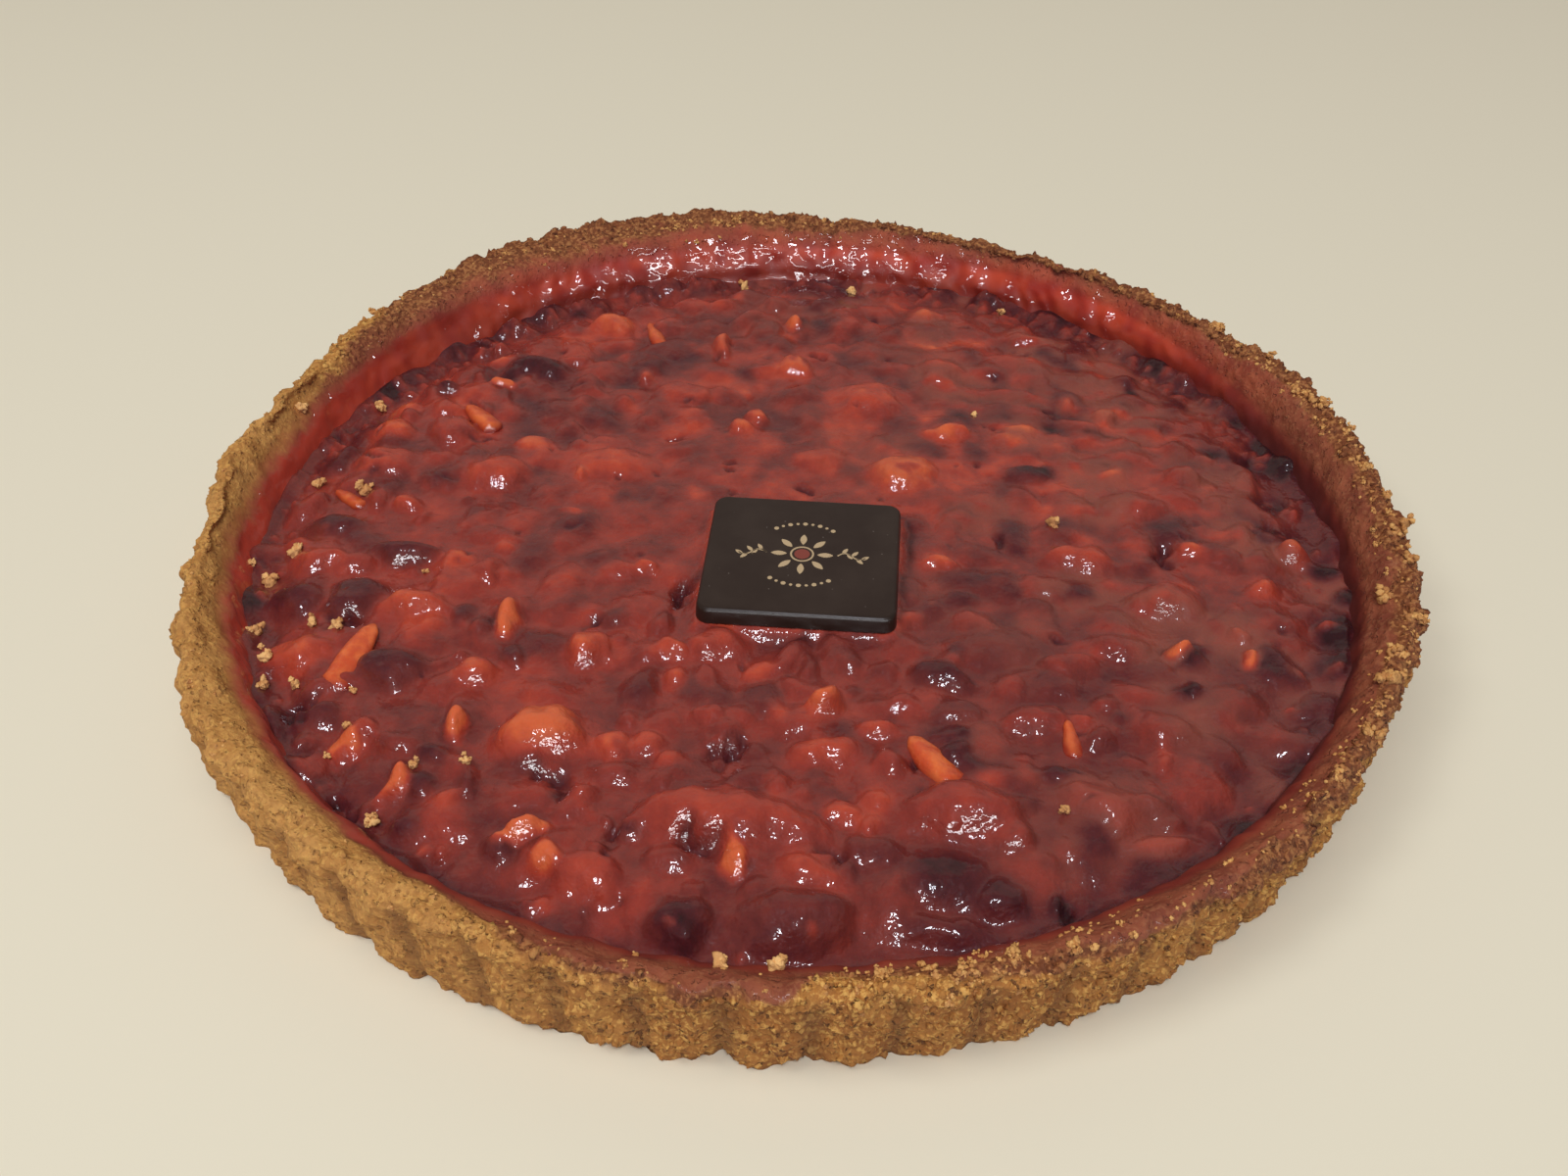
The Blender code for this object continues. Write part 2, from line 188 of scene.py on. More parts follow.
# Praline pieces under the glaze: x, y, length, width, turn, rise
ORANGE = ((-40, -63, 18, 13, 8, 5), (8, -54, 7, 8, 0, 5))
ORANGE_RED = (
    (-69, -30, 14, 9, 5, 4), (-89, -43, 15, 9, 0, 4), (-65, -35, 5, 5, 0, 2),
    (-55, -48, 9, 6, 0, 3), (-79, -69, 6, 6, 0, 2), (-35, -41, 9, 8, 0, 4),
    (-28, -64, 6, 6, 0, 2), (-19, -67, 5, 6, 0, 2), (0, -55, 4, 5, 0, 2),
    (8, -66, 13, 7, 5, 3), (17, -60, 10, 6, 0, 3), (5, -92, 12, 6, -10, 3),
    (11, -79, 8, 5, 0, 2), (63, -83, 14, 5, 10, 2), (29, -12, 9, 5, 0, 2),
    (23, -30, 4, 5, 0, 2), (85, -32, 4, 5, 0, 2), (91, -17, 7, 6, 0, 2),
    (80, -6, 6, 5, 0, 2), (-44, 78, 13, 9, -5, 3), (-18, 69, 6, 7, 0, 3),
    (-1, 60, 10, 8, -10, 3), (-87, 40, 8, 6, 0, 2), (-87, 30, 11, 9, 0, 3),
    (-57, 26, 11, 6, 0, 2), (-45, 16, 4, 5, 0, 2), (-12, 34, 7, 5, 0, 2),
    (-8, 39, 5, 7, 0, 2), (-34, 55, 5, 5, 0, 2), (61, 45, 4, 6, 0, 2),
    (69, 43, 6, 6, 0, 2), (34, 33, 10, 6, 0, 3), (49, 34, 11, 8, 0, 2),
    (23, 18, 15, 12, 0, 4), (-55, -78, 5, 5, 0, 2), (-65, -16, 8, 8, 0, 2),
    (-23, -63, 6, 5, 0, 2), (-19, -47, 5, 5, 0, 2), (16, -81, 5, 5, 0, 2),
    (17, -77, 6, 5, 0, 2), (-36, -99, 5, 5, 0, 2), (-78, 3, 6, 5, 0, 2),
    (-28, -16, 4, 5, 0, 2), (32, 85, 7, 5, 0, 2), (101, -6, 8, 8, 0, 4),
)
BRIGHT_RED = (
    (-8, -82, 36, 13, -3, 5), (31, -78, 24, 12, -3, 5), (-30, -93, 15, 10, -15, 3),
    (-62, 15, 16, 12, 0, 3), (16, 46, 18, 15, 0, 3), (-38, 19, 22, 12, 0, 2),
    (-86, 18, 14, 11, 20, 3), (-92, -16, 14, 7, 0, 3), (72, -23, 15, 10, -8, 4),
    (57, -10, 14, 10, 0, 3), (-13, -38, 12, 8, 0, 3), (53, -75, 17, 9, -15, 3),
)
RED = (
    (-82, -62, 6, 6, 0, 2), (-67, -78, 5, 6, 0, 2), (-85, -17, 8, 7, 0, 2),
    (-58, -19, 8, 9, 0, 3), (4, -57, 12, 10, 0, 2), (-8, -57, 8, 6, 0, 2),
    (19, -68, 8, 6, 0, 3), (38, -83, 9, 7, 0, 3), (71, -79, 4, 5, 0, 2),
    (49, -20, 11, 7, 0, 2), (61, -36, 13, 9, 0, 3), (51, -42, 12, 9, 0, 3),
    (44, -56, 13, 8, 0, 3), (67, -58, 11, 10, -20, 3), (-74, 30, 12, 11, 0, 3),
    (-99, 4, 13, 7, 80, 3), (-85, 5, 6, 6, 0, 2), (-25, 48, 13, 9, 0, 2),
    (56, 76, 14, 6, 0, 2), (34, 59, 13, 14, 0, 3), (51, 64, 13, 10, 0, 2),
    (7, 23, 14, 10, 0, 2), (82, 19, 11, 9, 0, 3), (70, 8, 16, 11, 0, 3),
)
BROWN_RED = (
    (-65, -65, 12, 7, 0, 2), (5, -44, 4, 8, 0, 2), (14, -87, 6, 9, 0, 2),
    (27, -100, 17, 6, 0, 2), (39, -36, 17, 12, 0, 2), (30, -54, 11, 7, 0, 2),
    (-8, 76, 8, 11, 0, 2), (2, 48, 10, 10, 0, 2), (-23, -32, 4, 12, 0, 2),
    (3, -101, 21, 12, 0, 4.5),
)
PURPLE = (
    (-94, -27, 12, 9, 0, 3), (-81, -28, 12, 11, 10, 3), (-70, -47, 16, 10, 10, 3),
    (-61, -31, 5, 6, 0, 2), (-49, -42, 6, 7, 0, 2), (-58, -68, 6, 5, 0, 2),
    (-60, -75, 6, 6, 0, 2), (-52, -75, 4, 6, 0, 2), (-76, -13, 16, 7, 0, 3),
    (-14, -101, 10, 10, 0, 4), (47, -69, 6, 5, 0, 2), (27, -91, 14, 10, 0, 2),
    (36, -95, 10, 7, 0, 3), (44, -96, 5, 5, 0, 2), (29, -60, 7, 5, 0, 2),
    (33, -67, 7, 5, 0, 2), (-97, 21, 12, 9, 60, 3), (-91, -4, 16, 8, 0, 2),
    (29, -46, 12, 7, 3, 3), (72, -47, 8, 5, 12, 2), (-59, 57, 16, 10, -5, 3),
    (51, 19, 13, 8, 0, 2), (-78, 47, 8, 5, 10, 3),
)
# From 0, the darkest, to 1, the most orange
PIECES = (
    (PURPLE, 0.19), (BROWN_RED, 0.42), (RED, 0.6), (BRIGHT_RED, 0.7), (ORANGE_RED, 0.85),
    (ORANGE, 1.0),
)
BETWEEN_TONE = 0.5

# Nut pieces that stick out of the glaze under a thin film, in the same form
NUT_TIPS = (
    (-51, -33, 10, 6, 85, 5), (-55, -62, 7, 5, 110, 5), (-7, -90, 9, 5, 95, 4),
    (-37, -91, 7, 6, 20, 4), (72, -37, 7, 6, 30, 4), (-41, -84, 10, 6, 10, 4),
    (-75, -66, 7, 6, 0, 4), (-64, -75, 6, 5, 60, 4), (-66, 50, 8, 5, 0, 4),
    (-1, 79, 6, 5, 0, 4), (85, -39, 6, 5, -79, 3),
)
# Bare slivers of nut: x, y, length, width, direction of the point, how far the point is raised
SLIVERS = (
    (-78, -44, 17, 6.6, 74, 9), (26, -67, 13, 6.4, 126, 8), (50, -61, 8.5, 3.6, 95, 14),
    (-69, 36, 12, 5.2, 132, 4), (-91, 6, 9, 3.6, 142, 2), (-34, 74, 11, 4, 111, 4),
)

# Hollows between the pieces, painted dark as shade: x, y, length, width, turn, depth
HOLLOWS = (
    (-85, -56, 8, 5, 5, 3), (-71, -79, 8, 5, -30, 4), (-20, -23, 5, 7, 0, 4),
    (-9, -65, 7, 6, 0, 4), (-38, -73, 7, 5, -20, 3), (-12, -88, 9, 5, 5, 4),
    (9, -88, 8, 5, 0, 3), (-26, -84, 5, 8, 10, 3), (-81, -35, 11, 4, 10, 4),
    (99, 14, 12, 9, 70, 3), (74, -8, 6, 6, 0, 3), (6, 65, 5, 6, 0, 3),
    (46, -97, 7, 4, 20, 3), (-22, -104, 6, 4, 0, 2),
)

# Plaque, as in the solids
PLAQUE_WIDTH = 37.4
PLAQUE_DEPTH = 35.6
PLAQUE_THICKNESS = 3.4
PLAQUE_CORNER = 2.6
PLAQUE_EDGE = 0.9
PLAQUE_CENTRE = (2.9, -17.2, 18.3)
PLAQUE_TURN = math.radians(-3)
PLAQUE_TILT = math.radians(1)

# Plaque, finer than the solids
PLAQUE_FOOT = 0.25  # the rounding of its lower edge
PLAQUE_DRAFT = 0.012  # its sides lean in by this share towards the top
SEAT_REACH = 3.5  # the glaze is brought up to it over this distance
GLAZE_LAP = 0.5  # the most that the glaze stands above its underside
PRINT_LIFT = 0.02
PRINT_THICKNESS = 0.06

# Loose crumbs that lie on the filling and its wall: x, y, size
CRUMBS = (
    (-97, -13, 3.4), (-101, -19, 3.0), (-105, -15, 2.2), (-88, -34, 2.6), (-83, -36, 3.2),
    (-87, -50, 2.4), (-76, -52, 1.4), (-75, -61, 1.6), (-77, -67, 1.4), (-61, -71, 2.0),
    (-52, -71, 2.0), (-66, -81, 2.6), (-70, -18, 1.2), (-88, 8, 3.0), (-99, 12, 2.6),
    (-93, 43, 2.6), (-14, 104, 2.8), (53, 0, 3.0), (40, 42, 1.6), (47, -77, 1.8),
    (-99, -34, 2.8), (-94, -44, 3.0), (-93, -50, 2.4), (-106, 29, 2.8), (13, 101, 2.4),
    (50, 92, 2.2), (1, -113, 3.6), (-7, -113, 2.6),
)
# Clumps of crumbs on the rim: direction, radius, size
RIM_CLUSTERS = (
    (-82, 117, 3.2), (-79, 116, 3.0), (-76, 118, 3.4), (-72, 117, 3.0), (-68, 119, 2.8),
    (-40, 117, 3.0), (-33, 118, 3.4), (-26, 116, 4.6), (-22, 117, 4.2), (-17, 119, 4.0),
    (-14, 115, 4.4), (-9, 118, 3.6), (-4, 119, 5.0), (1, 118, 3.2), (6, 117, 3.6), (12, 119, 3.2),
    (17, 118, 4.4), (20, 117, 3.8), (27, 119, 3.0), (35, 117, 3.8), (41, 118, 4.2), (46, 118, 3.2),
    (58, 119, 3.0), (75, 119, 2.8), (98, 117, 3.2), (101, 116, 3.6), (104, 118, 3.0),
    (128, 119, 2.8), (146, 118, 3.0), (160, 117, 2.8), (171, 117, 3.0), (188, 116, 2.6),
)
# Crumbs stuck to the rim: from direction, to direction, how many, size
RIM_CRUMBS = (
    (-84, -66, 85, 1.5), (-66, -45, 45, 1.3), (-45, -10, 110, 1.5), (-10, 40, 150, 1.6),
    (40, 75, 95, 1.5), (75, 110, 90, 1.4), (110, 150, 70, 1.3), (150, 200, 70, 1.2),
    (200, 260, 60, 1.1), (260, 276, 20, 1.3),
)
RIM_CRUMB_SHARES = (0.35, 0.45, 0.55, 0.7, 1.0)  # of the size given
RIM_TOP = (113.5, 120)  # radii between which crumbs lie on top
RIM_SIDE = (17, 23)  # heights between which they stick to the outside
ABOVE = 60  # rays down start at this height
BEYOND = 150  # and rays inwards at this radius


# Numbers


def smooth_step(low, high, value):
    share = np.clip((value - low) / (high - low), 0, 1)
    return share * share * (3 - 2 * share)


def round_table(table, degrees):
    """Reads a (direction, value) table all the way round."""
    directions, values = zip(*table)
    return np.interp(degrees, directions, values, period=360)


def on_circle(radius, angle):
    return radius * math.cos(angle), radius * math.sin(angle)


def random_place(draw, reach):
    """A place anywhere on a disc of this radius."""
    angle = draw.uniform(0, TAU)
    return on_circle(reach * math.sqrt(draw.random()), angle)


def rotated(x, y, angle):
    """Places in the plane, turned by this angle."""
    cosine, sine = math.cos(angle), math.sin(angle)
    return x * cosine - y * sine, x * sine + y * cosine


def crag(points, size):
    """Uneven relief from -1 to 1 with bumps of about this size, as on the solids."""
    return np.array([
        noise.noise(point / size) + 0.5 * noise.noise(point * 2.3 / size)
        for point in map(Vector, points)
    ])


def rough(points, size, octaves):
    """Uneven relief of about -1 to 1 with finer and finer bumps."""
    return np.array([
        noise.fractal(point / size, 1.0, 2.1, octaves) for point in map(Vector, points)
    ])


def between_cells(grid, row, column, v, u):
    """The values at shares v and u of the way from these cells to the next row and column."""
    near = grid[row, column] * (1 - u) + grid[row, column + 1] * u
    far = grid[row + 1, column] * (1 - u) + grid[row + 1, column + 1] * u
    return near * (1 - v) + far * v


def plane_noise(x, y, size, seed):
    """Smooth noise from -1 to 1 over the plane, with bumps of about this size."""
    cells = int(2.9 * RIM_RADIUS / size) + 6
    table = np.random.default_rng(seed).uniform(-1, 1, (cells, cells))
    across, along = (part / size + cells / 2 for part in rotated(x, y, -1.3 * seed))
    column = np.clip(across.astype(int), 0, cells - 2)
    row = np.clip(along.astype(int), 0, cells - 2)
    v, u = smooth_step(0, 1, along - row), smooth_step(0, 1, across - column)
    return between_cells(table, row, column, v, u)


def smooth_max(first, second, blend):
    """The higher of two heights, with a fillet of about this radius where they cross."""
    share = np.clip(0.5 + (second - first) / (2 * blend), 0, 1)
    return first * (1 - share) + second * share + blend * share * (1 - share)


# Meshes


def placed(name, data):
    """An object in the scene with this data."""
    made = bpy.data.objects.new(name, data)
    bpy.context.scene.collection.objects.link(made)
    return made


def mesh_object(name, points, faces, attributes=(), smooth=True):
    """An object from points in millimetres, with one value for each point in every attribute."""
    mesh = bpy.data.meshes.new(name)
    mesh.from_pydata(np.asarray(points) * METRES, [], faces)
    for label, values in attributes:
        layer = mesh.attributes.new(label, "FLOAT", "POINT")
        layer.data.foreach_set("value", np.asarray(values, dtype=np.float32))
    if smooth:
        mesh.shade_smooth()
    return placed(name, mesh)


def skin_faces(rings, around):
    """Faces through equal rings of points, closed by the two middle points that follow them."""
    faces = []
    for ring in range(rings - 1):
        low, high = ring * around, (ring + 1) * around
        for step in range(around):
            after = (step + 1) % around
            faces.append((low + step, low + after, high + after, high + step))
    last, start = (rings - 1) * around, rings * around
    for step in range(around):
        after = (step + 1) % around
        faces.append((start, after, step))
        faces.append((start + 1, last + step, last + after))
    return faces


def add_piece(made, material, node=None):
    made.data.materials.append(material)
    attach(made, "root")
    if node:
        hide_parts(node)


# Crust


def flute(angle):
    """From 0 in a crease to 1 on top of a flute, softer than on the solids."""
    return np.abs(np.sin(FLUTES * angle / 2)) ** FLUTE_SOFTNESS


def wall_shift(angle):
    return WALL_SHIFT * np.cos(angle) + FRONT_SHIFT * np.clip(-np.sin(angle), 0, 1) ** 2


def wall_radius(angle, height):
    """The crust's inner wall below the shoulder of the rim."""
    return FLOOR_RADIUS + WALL_LEAN * (height - FLOOR_THICKNESS) + wall_shift(angle)


def crust_section():
    """The crust's section from the inner wall's foot over the rim to the base, in even steps.

    Gives each point's radius, height, distance along the section and outward normal.
    """
    lean = WALL_LEAN * (SHOULDER_HEIGHT - FLOOR_THICKNESS)
    corners = np.array((
        (FLOOR_RADIUS, FLOOR_THICKNESS),
        (FLOOR_RADIUS + lean, SHOULDER_HEIGHT),
        (RIM_RADIUS - 9, RIM_HEIGHT - 3.5),
        (RIM_RADIUS - 6.8, RIM_HEIGHT - 1.2),
        (RIM_RADIUS - 3.8, RIM_HEIGHT),
        (RIM_RADIUS - 1.2, RIM_HEIGHT - 0.5),
        (RIM_RADIUS, RIM_HEIGHT - 3.5),
        (BASE_RADIUS, 3),
        (BASE_RADIUS - 1, 0),
    ))
    along = np.concatenate(([0], np.cumsum(np.hypot(*np.diff(corners, axis=0).T))))
    steps = np.linspace(0, along[-1], int(along[-1] / PROFILE_STEP))
    section = np.stack([np.interp(steps, along, corners[:, axis]) for axis in (0, 1)], axis=1)
    for _ in range(3):
        section[1:-1] = (section[:-2] + 2 * section[1:-1] + section[2:]) / 4
    tangent = np.gradient(section, axis=0)
    normal = np.stack((-tangent[:, 1], tangent[:, 0]), axis=1)
    normal /= np.linalg.norm(normal, axis=1, keepdims=True)
    return section[:, 0], section[:, 1], steps, normal


def crust_points(radius, height, angle):
    """Moves points of the round case to the fluted, uneven one.

    The waves, the bulges and the rim are the solids', the flutes softer and less even.
    """
    round_points = np.stack((radius * np.cos(angle), radius * np.sin(angle), height), axis=1)
    outside = smooth_step(RIM_RADIUS - 8, RIM_RADIUS - 3, radius)
    upper = smooth_step(6, RIM_HEIGHT, height)
    wave = sum(
        cosine * np.cos(waves * angle) + sine * np.sin(waves * angle)
        for waves, cosine, sine in RIM_WAVES
    )
    bulge = 0
    for direction, half_width, amount in RIM_BULGES:
        turn = (np.degrees(angle) - direction + 180) % 360 - 180
        bulge = bulge + amount * np.exp(-((turn / half_width) ** 2))
    uneven = crag(round_points + 200, FLUTE_UNEVENNESS)
    wobbly = flute(angle + 0.2 * uneven * TAU / FLUTES)
    depth = FLUTE_DEPTH * (0.68 - 0.2 * upper + 0.25 * uneven) * (wobbly - 0.75)
    shape = (RIM_RADIUS * wave + bulge) * (0.4 + 0.6 * upper)
    moved = radius + outside * (depth + shape + CRAG_DEPTH * crag(round_points, CRAG_SIZE))
    moved += (1 - outside) * wall_shift(angle)
    crest = smooth_step(SHOULDER_HEIGHT, RIM_HEIGHT - 3, height)
    inside = 1 - smooth_step(RIM_RADIUS - 4, RIM_RADIUS - 1, radius)
    moved -= crest * inside * RIM_THINNING * np.sin(angle)
    lift = RIM_SLOPE * np.sin(angle) + CRAG_DEPTH * crag(round_points, 2 * CRAG_SIZE)
    moved_height = height + smooth_step(SHOULDER_HEIGHT, RIM_HEIGHT, height) * lift
    return np.stack((moved * np.cos(angle), moved * np.sin(angle), moved_height), axis=1)


def crust_sides(angle):
    """How far each point lies to the left, the back and the right, from 0 to 1."""
    left = smooth_step(0.3, 0.9, -np.cos(angle))
    back = smooth_step(0.35, 0.9, np.sin(angle + 0.15))
    right = smooth_step(0.6, 1, np.cos(angle))
    return left, back, right


def crust_layers(points, angle, travel):
    """Where the crust is glazed, soaked and so on, with uneven edges."""
    left, back, right = crust_sides(angle)
    degrees = np.degrees(angle)
    edge = 1.6 * rough(points, 7, 3) + 1.0 * rough(points, 2.2, 2)
    past_glaze = travel - round_table(GLAZE_REACH, degrees) - edge
    past_soak = travel - round_table(SOAK_REACH, degrees) - 1.5 * edge
    # Painted light on the left: a softer glaze edge and a pink film where the wall turns from the
    # lamps
    softness = 0.8 + 2.2 * left
    film = smooth_step(2.4, 0.4, np.abs(past_glaze + 0.3))
    wet_back = smooth_step(0.2, 0.8, np.sin(angle + 0.1))
    return {
        "glaze": smooth_step(softness, -softness, past_glaze),
        "soak": smooth_step(1.5, -1.5, past_soak),
        "film": film * np.maximum(back, left),
        # Painted shade in the creases between the outside's flutes
        "crease": smooth_step(0.55, 0.1, flute(angle)) * smooth_step(*CREASED_FROM, travel),
        "gloss": np.maximum(0.25 + 0.55 * left, wet_back),
        "over": smooth_step(*ON_RIM, travel + 3.5 * right),
        "pale": smooth_step(0.45, 0.9, np.cos(angle - PALEST)),
    }


def crust_relief(points, angle, travel, layers):
    """The fine relief, most of it carved inwards so that the case keeps its size."""
    _, back, right = crust_sides(angle)
    outer = smooth_step(*ROUGH_FROM, travel + 8 * right)
    lumps = LUMP_RELIEF * (rough(points, LUMP_SIZE, 2) - 0.3)
    grain = GRAIN_RELIEF * (rough(points + 50, GRAIN_SIZE, 1) - 0.25)
    pores = -PORE_DEPTH * smooth_step(0.45, 0.8, rough(points + 90, PORE_SIZE, 1))
    beads = 1.2 * back * np.abs(rough(points + 30, 4.0, 1))
    rise, fall = RIDGE
    ridge = 1.6 * back * smooth_step(*rise, travel) * smooth_step(*fall, travel)
    wall = WALL_RELIEF * (1.3 * rough(points, 6, 2) + ridge - beads - 0.9)
    rough_share = outer * (1 - 0.5 * layers["glaze"]) * (1 - 0.15 * layers["pale"])
    return (1 - outer) * wall + rough_share * (lumps + grain + (1 - layers["soak"]) * pores)


def wall_foot_shade(height, angle, travel):
    """Painted shade: darkens the foot of the inner wall, least on the left and at the back."""
    left, back, _ = crust_sides(angle)
    depth = smooth_step(SHOULDER_HEIGHT + 3, FILL_EDGE_LEVEL + 2.5, height) * (travel < WALL_END)
    return depth * (1 - np.maximum(0.95 * left, 0.45 * back))


def make_crust(box):
    """The whole case: its crumbly outside, its rim and its glazed inner wall."""
    radius, height, along, normal = crust_section()
    rings, spokes = len(radius), FLUTES * STEPS_PER_FLUTE
    angle = np.tile(np.arange(spokes) * TAU / spokes, rings)
    ring = np.repeat(np.arange(rings), spokes)
    points = crust_points(radius[ring], height[ring], angle)
    layers = crust_layers(points, angle, along[ring])
    relief = crust_relief(points, angle, along[ring], layers)
    points[:, 0] += relief * normal[ring, 0] * np.cos(angle)
    points[:, 1] += relief * normal[ring, 0] * np.sin(angle)
    points[:, 2] += relief * normal[ring, 1] * smooth_step(0, 0.8, height[ring])
    points = np.clip(points, (*box[0][:2], 0), box[1])
    layers["deep"] = wall_foot_shade(points[:, 2], angle, along[ring])

    # The section runs from the inside out, so each face is turned over
    faces = [(face[0], *face[:0:-1]) for face in skin_faces(rings, spokes)]
    points = np.vstack((points, ((0, 0, FLOOR_THICKNESS), (0, 0, 0))))
    attributes = [(label, np.concatenate((layers[label], (0, 0)))) for label in CRUST_LAYERS]
    return mesh_object("tart_crust", points, faces, attributes)


# Filling


def piece_frame(x, y, piece):
    """Where points lie along and across a piece, from -1 to 1 inside its outline."""
    u, v = rotated(x - piece[0], y - piece[1], -math.radians(piece[4]))
    return u * 2 / piece[2], v * 2 / piece[3]


def inside_piece(x, y, piece):
    """Below 1 inside a piece's outline, and growing outwards."""
    u, v = piece_frame(x, y, piece)
    return u * u + v * v


def named_pieces():
    return [(piece, tone) for group, tone in PIECES for piece in group]


def clear_of_pieces(x, y, reach):
    """Whether a place lies outside every named piece, as inside_piece measures it."""
    return all(inside_piece(x, y, piece) > reach for piece, _ in named_pieces())


def small_mounds():
    """Low mounds on an uneven grid, wherever no named piece lies."""
    draw = random.Random(SEED)
    count = int(RIM_RADIUS / SMALL_MOUND_SPACING)
    mounds = []
    for row in range(-count, count + 1):
        for column in range(-count, count + 1):
            x = (column + row % 2 / 2 + draw.uniform(-0.3, 0.3)) * SMALL_MOUND_SPACING
            y = (row * 0.9 + draw.uniform(-0.3, 0.3)) * SMALL_MOUND_SPACING
            length, width = draw.uniform(*MOUND_LENGTHS), draw.uniform(*MOUND_WIDTHS)
            turn = draw.uniform(0, 180)
            rise = draw.uniform(0.4, 1) * MOUND_RISE * (1 - 0.6 * calm_share(x, y))
            if clear_of_pieces(x, y, 1):
                mound = (x, y, length, width, turn, rise / LUMP_RISE)
                mounds.append((mound, draw.choice(MOUND_TONES)))
    return mounds


def calm_share(x, y):
    """Near 1 round the plaque, where the glaze is smoothest, and 0 far from it."""
    across, along = x - CALM_CENTRE[0], y - CALM_CENTRE[1]
    return math.exp(-((across / CALM_REACH[0]) ** 2) - (along / CALM_REACH[1]) ** 2)


def nut_chips():
    """Small chips in the glaze between the named pieces, flatter on the right and by the plaque."""
    draw = random.Random(SEED + 1)
    reach = CHIP_REACH + 2
    chips = []
    while len(chips) < CHIPS:
        x, y = draw.uniform(-reach, reach), draw.uniform(-reach, reach)
        size = draw.choice(CHIP_SIZES)
        shape = (x, y, size * draw.uniform(1, 1.6), size, draw.uniform(0, 180))
        softness = (0.45 if x + y > 15 else 1) * (1 - 0.8 * calm_share(x, y))
        rise = size * draw.uniform(0.3, 0.6) * softness
        tone = draw.choice(CHIP_TONES)
        if math.hypot(x, y) < CHIP_REACH and clear_of_pieces(x, y, 0.8):
            chips.append((shape + (rise / LUMP_RISE,), tone))
    return chips


def edge_bubbles():
    """Beads of glaze where the filling meets its wall, most of them at the back and the left."""
    draw = random.Random(SEED + 2)
    bubbles = []
    for _ in range(BUBBLES):
        degrees = draw.choice((draw.triangular(*BUBBLES_ROUND), draw.uniform(*BUBBLES_BACK)))
        angle = math.radians(degrees)
        radius = wall_radius(angle, FILL_EDGE_LEVEL) - draw.triangular(0, 7, 0.5)
        size = draw.uniform(*BUBBLE_SIZES)
        bubble = (*on_circle(radius, angle), size, size, 0, size * 0.3 + 0.85)
        bubbles.append((bubble, draw.uniform(*BUBBLE_TONES)))
    return bubbles + specks(draw)


def specks(draw):
    """Small lumps of glaze all over the filling."""
    lumps = []
    for _ in range(SPECKS):
        place, size = random_place(draw, CHIP_REACH), draw.uniform(*SPECK_SIZES)
        lumps.append(((*place, size * 1.3, size, draw.uniform(0, 180), size * 0.2 + 0.4), 0.5))
    return lumps


def small_pits():
    """Little gaps between the pieces, painted dark as shade, in the form of HOLLOWS."""
    draw = random.Random(SEED + 8)
    pits = []
    for _ in range(PITS):
        place, length = random_place(draw, PIT_REACH), draw.uniform(*PIT_LENGTHS)
        width, turn = draw.uniform(*PIT_WIDTHS), draw.uniform(0, 180)
        pits.append((*place, length, width, turn, draw.uniform(*PIT_DEPTHS)))
    return pits


def grid_window(x, y, reach):
    """The part of a grid that lies within reach of a point."""
    limits = []
    for place in (y, x):
        for side in (-reach, reach):
            limits.append(max(int((place + side + GRID_HALF) / GRID_STEP), 0))
    return np.s_[limits[0]:limits[1], limits[2]:limits[3]]


def lay_piece(land, piece, piece_tone, flatness, blend, draw):
    """Raises one piece out of the filling, cuts facets into it and tints it."""
    near = grid_window(piece[0], piece[1], 0.7 * max(piece[2], piece[3]) + 2 * OUTLINE_WARP)
    if land["height"][near].size == 0:
        return
    u, v = piece_frame(land["warped_x"][near], land["warped_y"][near], piece)
    away = np.sqrt(u * u + v * v)
    rise = piece[5] * LUMP_RISE
    dome = rise * (1 - away ** flatness)
    for _ in range(FACETS if piece[2] < FACETED_BELOW else 0):
        slope, direction = draw.uniform(*FACET_SLOPES), draw.uniform(-0.4, math.pi + 0.4)
        lean = slope * (u * math.cos(direction) + v * math.sin(direction))
        facet = rise * (draw.uniform(0.95, 1.15) - lean)
        dome = -smooth_max(-dome, -facet, 0.25 * rise)
    before = land["height"][near]
    after = smooth_max(before, land["level"][near] + dome, blend * (0.3 + 0.25 * rise))
    share = smooth_step(1.25, 0.45, away) * smooth_step(-0.2, 0.6, after - before + 0.35 * rise)
    land["height"][near] = after
    land["tone"][near] += share * (piece_tone - land["tone"][near])


def blur(land, reach):
    """Softens a grid over this many millimetres."""
    count = int(3 * reach / GRID_STEP)
    weights = np.exp(-0.5 * (np.arange(-count, count + 1) * GRID_STEP / reach) ** 2)
    weights /= weights.sum()
    for axis in (0, 1):
        land = np.apply_along_axis(np.convolve, axis, land, weights, "same")
    return land


def read_grid(grid, x, y):
    """The grid's values at these points."""
    across = (x + GRID_HALF) / GRID_STEP
    along = (y + GRID_HALF) / GRID_STEP
    column, row = across.astype(int), along.astype(int)
    return between_cells(grid, row, column, along - row, across - column)


def plaque_matrix():
    place = Matrix.Translation(PLAQUE_CENTRE)
    return place @ Matrix.Rotation(PLAQUE_TURN, 4, "Z") @ Matrix.Rotation(PLAQUE_TILT, 4, "X")


